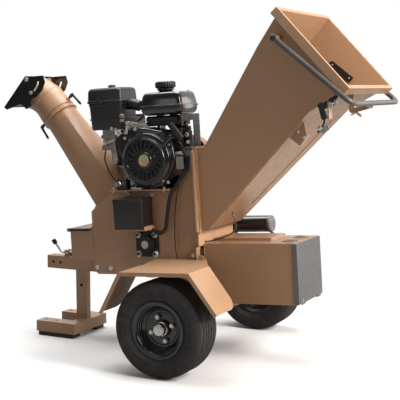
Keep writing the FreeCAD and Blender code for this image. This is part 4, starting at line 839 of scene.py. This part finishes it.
# ---- hopper and safety bar ---------------------------------------------------
def hopper():
    refine("hopper", TAN, 1.2)
    kit = Kit()
    centre, normal = surface("hopper", (536, 0, 1193), (0, 1, 0))
    along = Vector((96, 0, -84))
    kit.slab(centre, normal, along, 124, 28, 5, 3)
    for step in (-48, 48):
        at = centre + normal * 5 + along.normalized() * step
        kit.lathe(at, normal, [(0, 4), (1.6, 3.4), (2, 1)], 14, 1)
    piece(kit, "mouth_rubber_plate", "hopper_assembly", [HOSE, ZINC], bevel=0.8)

    trim = Kit()
    bottom, _ = surface("hopper", (500, -190, 800), UP)
    web = [(bottom.x - 36, bottom.z - 34), (bottom.x - 6, bottom.z - 2), (bottom.x + 30, bottom.z + 26),
           (bottom.x + 40, bottom.z - 26), (bottom.x + 6, bottom.z - 68)]
    trim.prism(web, -204, -200)
    trim.prism([(bottom.x + 6, bottom.z - 68), (bottom.x + 40, bottom.z - 26), (bottom.x + 42, bottom.z - 28),
                (bottom.x + 8, bottom.z - 70)], -204, -168)
    for a, b in ((4, -12), (28, -36)):
        trim.bolt((bottom.x + a, -204, bottom.z + b), NEAR, 11, 5, mat=1)
    for y in (-150, 118):
        a, n = surface("hopper", (150, y, 300), UP)
        b, _ = surface("hopper", (520, y * 1.42, 300), UP)
        trim.slab((a + b) / 2, n, b - a, (b - a).length, 34, 3, 2)
    piece(trim, "hopper_bracket", "hopper_assembly", [TAN, ZINC], bevel=0.8)

    limit_switch()


def limit_switch():
    """Switch under the hopper: body along the lever's slope, roller lever, cable and gland."""
    low, high = upright("bar_switch")
    y = low.y + 16
    head = Vector((high.x - 6, y, high.z + 16))
    slope = Vector((0.87, 0, 0.49))
    fall = Vector((0.49, 0, -0.87))
    kit = Kit()

    def at(along, down=0.0, inward=0.0):
        return head + slope * along + fall * down + Y_WAY * inward

    kit.slab(at(-6, 0, 14), NEAR, slope, 64, 30, 28, 7)
    kit.slab(at(22, 0, 8), NEAR, slope, 26, 20, 20, 6)
    kit.lathe(at(40, 0, 8), NEAR, [(0, 7), (1, 8.5), (15, 8.5), (16, 7)], 24)
    kit.tube([at(4, 18), at(-24, 16)], 8.5, 20, 1)
    kit.lathe(at(10, 14, -8), NEAR, [(0, 12), (5, 12), (6.5, 10)], 28, 1)
    kit.slab(at(14, 20, -6), NEAR, slope, 46, 10, 3, 4, 1)
    kit.slab(at(-36, 26, 10), NEAR, slope * 0.3 - fall, 46, 22, 20, 6)
    kit.tube(rounded([at(-44, 46), at(-54, 60), at(-78, 72), at(-96, 76)], 18), 4, 12)
    kit.hexagon(at(-76, 66), slope + fall * -0.2, 17, -9, 9, 1)
    kit.slab(at(-66, 80, 8), NEAR, slope, 36, 22, 3, 3, 1)
    piece(kit, "limit_switch", "hopper_assembly", [PLASTIC, CHROME], bevel=0.9, replaces=["bar_switch"])


def mouth_link():
    """Flat link bolted under the hopper's mouth, and the stop tab beside it."""
    kit = Kit()
    mount, normal = surface("hopper", (640, -60, 700), UP)
    start = Vector((mount.x + 44, -60, mount.z - 42))
    kit.block(start.x - 12, start.x + 10, -64, -60, start.z - 4, mount.z + 24)
    end = start + Vector((80, 0, 16))
    kit.slab((start + end) / 2, NEAR, end - start, 100, 20, 5, 9)
    kit.bolt(end + Vector((-8, -5, -1.5)), NEAR, 15, 7, mat=1)
    kit.slab(start + Vector((12, 6, -6)), normal, (1, 0, 0.2), 44, 26, 3, 3)
    kit.tube([start + Vector((14, 0, -6)), start + Vector((38, 0, -24))], 5, 14, 1)
    piece(kit, "mouth_link", "hopper_assembly", [TAN, ZINC], bevel=0.6)


def safety_bar():
    low, high = upright("safety_bar")
    pivot = joint_point("safety_bar_swing")
    r = 11
    end = Vector((high.x - r, 0, low.z + r))
    y = high.y - r
    corners = [(pivot.x, -y, pivot.z), (end.x, -y, end.z), (end.x, y, end.z), (pivot.x, y, pivot.z)]
    kit = Kit().tube(rounded(corners, 46, 10), r - 0.3, 24)
    for side in (-1, 1):
        centre = Vector((pivot.x, side * y, pivot.z))
        kit.lathe(centre, Y_WAY, [(-11, 8), (-11, 13), (-9, 14.5), (9, 14.5), (11, 13), (11, 8)], 36)
        kit.lathe(centre + Y_WAY * side * 11, Y_WAY * side, [(0, 10), (2, 10)], 24, 1)
        kit.hexagon(centre + Y_WAY * side * 13, Y_WAY * side, 13, 0, 5, 1)
    piece(kit, "safety_bar_tube", "bar", [BAR_GREY, SATIN_BLACK], bevel=0.6, replaces=["safety_bar"],
          limit=40)


# ---- rear box, motor, bolts --------------------------------------------------
def rear_end():
    low, high = upright("rear_box")
    lid = Kit()
    lid.block(low.x + 2, high.x - 2, low.y + 1, high.y - 1, high.z, high.z + 2.5)
    lid.stack((low.x + 8, -53), (300, 110), [(high.z + 2, 0, 4), (high.z + 14, 0, 4), (high.z + 16, 2, 3)])
    for y in (low.y + 14, high.y - 14):
        for x in (low.x + 60, (low.x + high.x) / 2, high.x - 60):
            lid.lathe((x, y, high.z + 2.5), UP, [(0, 5), (1.6, 4.2), (2.4, 1)], 16, 1)
    for y in (-70, 62):
        lid.slab((high.x - 50, y, high.z + 2.5), UP, REAR, 46, 26, 2.5, 3, 1)
        loop = trail((high.x, y, high.z), (-62, -9, 8), (-12, -9, 7), (-12, 9, 7), (-62, 9, 8))
        lid.tube(loop, 1.8, 8, 1)
        lid.slab((high.x - 66, y, high.z + 7), (-0.25, 0, 1), REAR, 34, 20, 2, 3, 1)
    lid.lathe((low.x + 110, low.y + 30, low.z), DOWN, [(0, 7), (6, 7), (8, 5)], 6, 1)
    piece(lid, "rear_box_lid", BODY, [TAN, ZINC], bevel=0.7)

    panel = Kit()
    _, p_high = upright("rear_panel")
    for side in (-1, 1):
        y0, y1 = sorted((side * 137.6, side * 140))
        # Painted light: the side flanges take the lighter cap grey instead of the panel grey, so these shaded
        # faces look as lit as the panel's face.
        panel.block(p_high.x - 24, p_high.x - 4, y0, y1, low.z + 6, high.z - 1, 2)
    for y in (-118, 118):
        panel.bolt((p_high.x - 4.4, y * 0.9, low.z + 16), REAR, 11, 4, mat=1)
        panel.slab((p_high.x - 4.6, y * 0.88, low.z + 12), REAR, (0, 1, 0), 34, 18, 1.6, 3, 1)
    piece(panel, "rear_panel_fittings", "door", [GREY, ALLOY, GREY_CAP_AND_LIT_FLANGE], bevel=0.6)

    motor_low, motor_high = upright("feed_motor")
    centre = (motor_low + motor_high) / 2
    r = (motor_high.z - motor_low.z) / 2
    length = motor_high.x - motor_low.x
    can = Kit()
    start = Vector((motor_low.x, centre.y, centre.z))
    barrel = [(0, r - 3), (1, r), (10, r), (11, r - 1.5), (length - 17, r - 1.5), (length - 16, r - 0.5)]
    can.lathe(start, REAR, barrel, 64)
    can.lathe(start, REAR, [(length - 16, r - 1), (length - 6, r - 1), (length - 2, r - 4), (length, r - 12),
                                 (length, 0)], 64, 1)
    for turn in (50, 230):
        a = math.radians(turn)
        at = start + Vector((length - 1.5, 26 * math.cos(a), 26 * math.sin(a)))
        can.bolt(at, REAR, 8, 3, mat=2)
    end = motor_high.x
    lead = [(end - 8, centre.y - 20, motor_low.z + 6), (end + 8, centre.y - 40, high.z + 10),
            (end + 44, centre.y - 70, high.z + 5), (end + 90, 60, high.z + 5)]
    can.tube(rounded(lead, 20), 4, 10, 3)
    sensor = [(128, -60, 664), (128, -60, 612), (140, -62, 585), (144, -64, 557), (136, -80, 532),
              (110, -100, 518), (76, -115, 508), (44, -120, 500), (20, -124, 499)]
    can.tube(rounded(sensor, 20), 3, 10, 3)
    piece(can, "feed_motor_can", BODY, [BLACK, GREY_CAP_AND_LIT_FLANGE, ZINC, HOSE], bevel=0.8, replaces=["feed_motor"])


def fasteners():
    """Housing bolts with washers and studs, deck bolts, and the bracket by the fender."""
    kit = Kit()
    centre = joint_point("drum_spin")
    for side in (-1, 1):
        for i in (-1, 1):
            for k in (-1, 1):
                at = Vector((centre.x + i * HOUSING_PITCH, side * HOUSING_FACE, centre.z + k * HOUSING_PITCH))
                kit.lathe(at, Y_WAY * side, [(0, 13.5), (2.4, 13.5), (3, 12)], 28)
                kit.hexagon(at, Y_WAY * side, 19, 2, 12)
                kit.lathe(at, Y_WAY * side, [(10, 7), (14, 7), (15, 6)], 18, 1)
    piece(kit, "bearing_bolts", BODY, [ZINC, SATIN_BLACK], bevel=0.5)

    extra = Kit()
    deck_low, deck_high = upright("engine_deck")
    for x in (deck_low.x + 20, deck_low.x + 84, deck_high.x - 28):
        for y in (deck_low.y + 14, deck_high.y - 14):
            extra.bolt((x, y, deck_high.z), UP, 13, 8, mat=1)
            extra.bolt((x, y, deck_low.z), DOWN, 13, 6, mat=1)
    for x, z in ((-316, 716), (-201, 708)):
        extra.bolt((x, -170, z), NEAR, 10, 4, mat=1)
    extra.prism([(-36, 420), (14, 420), (14, 478), (-30, 462)], -176, -170)
    extra.prism([(11, 420), (15, 420), (15, 482), (11, 478)], -200, -170)
    extra.bolt((-12, -176, 446), NEAR, 16, 8, mat=1)
    extra.prism([(22, 418), (50, 420), (50, 448), (24, 452)], -206, -202)
    extra.block(22, 50, -206, -176, 418, 421)
    piece(extra, "plate_brackets", BODY, [TAN, ZINC], bevel=0.6)
    refine("drum_bearings", CAST, 3.0, 3)


def stand_lever():
    hub = Vector(JOINTS["stand_lock_turn"]["pos_m"]) / MM
    bend = hub + Vector((-42, 0, -6))
    tip = hub + Vector((-78, 0, 39))
    way = (tip - bend).normalized()
    kit = Kit().tube(rounded([hub, bend, tip], 16, 6), 5, 16)
    kit.lathe(hub, Y_WAY, [(-12.5, 8), (-12, 10), (12, 10), (12.5, 8)], 28)
    kit.tube([hub + Y_WAY * -23, hub + Y_WAY * 23], 5, 16)
    for side in (-1, 1):
        kit.lathe(hub + Y_WAY * side * 18.6, Y_WAY * side, [(0, 9), (2, 9), (5, 6), (6, 2)], 24)
    kit.lathe(tip - way * 6, way, [(0, 7), (2, 9.5), (12, 11), (20, 11.5), (24, 9.5), (25.5, 4)], 28, 1)
    piece(kit, "stand_lock_handle", "stand_lever", [CHROME, SATIN_BLACK], bevel=0.5,
          replaces=["stand_lock_lever"], level=True)


def front_lid_painted_shadow():
    """Black strips under the front lid's edge and along its front end: painted shadow of the lid's edge."""
    low, high = upright("front_box")
    kit = Kit()
    # Painted shadow: black strips where the lid's edge casts shade.
    kit.block(low.x - 5, low.x + 110, low.y - 3.5, low.y - 0.2, high.z - 9, high.z - 1)
    kit.block(low.x - 4, low.x - 0.4, low.y, high.y, high.z - 10, high.z - 1)
    piece(kit, "front_lid_painted_shadow_strip", BODY, HOSE, bevel=0.6)


def welds():
    kit = Kit()
    low, high = upright("front_box")
    weld(kit, (high.x, low.y, low.z + 4), (high.x, low.y, high.z), 2.6)
    box_low, box_high = upright("rear_box")
    weld(kit, (box_low.x, box_low.y, box_low.z), (box_low.x, box_low.y, box_high.z), 2.6)
    piece(kit, "body_welds", BODY, TAN)
    level = Kit()
    for x in STAND_FOOT:
        weld(level, (x, -15, 70.5), (x, 15, 70.5), 3.2)
    for y in (-15, 15):
        weld(level, (STAND_FOOT[0], y, 70.5), (STAND_FOOT[1], y, 70.5), 3.2)
    for y in (-70, 70):
        weld(level, (-713, y, 22), (-713, y, 69), 3)
    piece(level, "stand_welds", "stand", TAN, level=True)


def main():
    for side_name in ("near", "far"):
        wheel(side_name)
    sheet_metal()
    chute()
    elbow()
    refine("deflector", BLACK, 1.2)
    clamp_lever("front_clamp_lever", -1)
    clamp_lever("rear_clamp_lever", 1)
    engine()
    refine("starter_grip", PLASTIC, 3.0, 3)
    electrics()
    hopper()
    mouth_link()
    safety_bar()
    rear_end()
    fasteners()
    stand_lever()
    front_lid_painted_shadow()
    welds()


# ---- floor, light and camera -------------------------------------------------
def seen_directly(tree):
    return tree.nodes.new("ShaderNodeLightPath").outputs["Is Camera Ray"]


def floor():
    """Pale studio floor that fades to plain white away from the machine."""
    mesh = bpy.data.meshes.new("floor")
    size = 30.0
    mesh.from_pydata([(-size, -size, 0), (size, -size, 0), (size, size, 0), (-size, size, 0)],
                     [], [(0, 1, 2, 3)])
    n = Nodes("pale_floor")
    pale = n.mix(n.noise(1.5), (0.74, 0.74, 0.74, 1), (0.78, 0.78, 0.78, 1))
    n.link(n.mix(seen_directly(n.tree), (0.32, 0.32, 0.32, 1), pale), n.shader.inputs["Base Color"])
    n.shader.inputs["Roughness"].default_value = 0.8
    n.shader.inputs["Specular IOR Level"].default_value = 0.15
    n.bump(n.noise(40.0), 0.05, 0.001)
    length = n.new("VectorMath")
    length.operation = "LENGTH"
    n.link(n.place, length.inputs[0])
    share = n.times(n.ramp(length.outputs["Value"], 0.75, 1.7), seen_directly(n.tree))
    white = n.new("Emission")
    blend = n.new("MixShader")
    n.link(share, blend.inputs[0])
    n.link(n.shader.outputs[0], blend.inputs[1])
    n.link(white.outputs[0], blend.inputs[2])
    n.link(blend.outputs[0], n.tree.nodes["Material Output"].inputs["Surface"])
    mesh.materials.append(n.mat)
    add_object("floor", mesh)


def area_light(name, at, aim, size, watts, color=(1, 1, 1)):
    data = bpy.data.lights.new(name, "AREA")
    data.shape = "RECTANGLE"
    data.size, data.size_y = size
    data.energy = watts
    data.color = color
    aim_at(add_object(name, data), at, Vector(aim) - Vector(at))


def studio():
    """White backdrop behind, dim room in front; strong key from the feed end, large soft fills."""
    world = bpy.data.worlds.new("studio")
    world.use_nodes = True
    tree = world.node_tree
    background = tree.nodes["Background"]
    background.inputs["Color"].default_value = (1.0, 0.985, 0.97, 1)
    coords = tree.nodes.new("ShaderNodeTexCoord")
    split = tree.nodes.new("ShaderNodeSeparateXYZ")
    tree.links.new(coords.outputs["Generated"], split.inputs[0])
    behind = tree.nodes.new("ShaderNodeMapRange")
    for name, number in (("From Min", -0.5), ("From Max", 0.7), ("To Min", 0.09), ("To Max", 0.85)):
        behind.inputs[name].default_value = number
    tree.links.new(split.outputs["Y"], behind.inputs["Value"])
    tree.links.new(behind.outputs["Result"], background.inputs["Strength"])
    backdrop = tree.nodes.new("ShaderNodeBackground")
    backdrop.inputs["Color"].default_value = (1, 1, 1, 1)
    blend = tree.nodes.new("ShaderNodeMixShader")
    tree.links.new(seen_directly(tree), blend.inputs[0])
    tree.links.new(background.outputs[0], blend.inputs[1])
    tree.links.new(backdrop.outputs[0], blend.inputs[2])
    tree.links.new(blend.outputs[0], tree.nodes["World Output"].inputs["Surface"])
    bpy.context.scene.world = world
    aim = (0.0, 0.0, 0.6)
    area_light("key", (4.2, -0.6, 3.0), aim, (2.2, 2.2), 380, (1.0, 0.95, 0.90))
    area_light("side_card", (3.0, 4.4, 1.4), aim, (2.0, 2.6), 36, (1.0, 0.97, 0.95))
    area_light("top", (-0.6, 0.6, 4.4), aim, (3.4, 3.4), 260)
    area_light("front", (-1.5, -5.0, 2.2), aim, (3.0, 2.0), 18)


def camera():
    """The view of a lens of about 93 mm, 4.5 m out on the near side, to the rear."""
    azimuth, down = math.radians(CAMERA_AZIMUTH), math.radians(CAMERA_DOWN)
    data = bpy.data.cameras.new("view")
    data.sensor_width = 36.0
    data.lens = LENS
    obj = add_object("view", data)
    look = Vector((-math.sin(azimuth) * math.cos(down), math.cos(azimuth) * math.cos(down),
                   -math.sin(down)))
    aim_at(obj, CAMERA_AT, look)
    bpy.context.scene.camera = obj


main()
floor()
studio()
camera()
bpy.context.scene.view_settings.view_transform = "Standard"
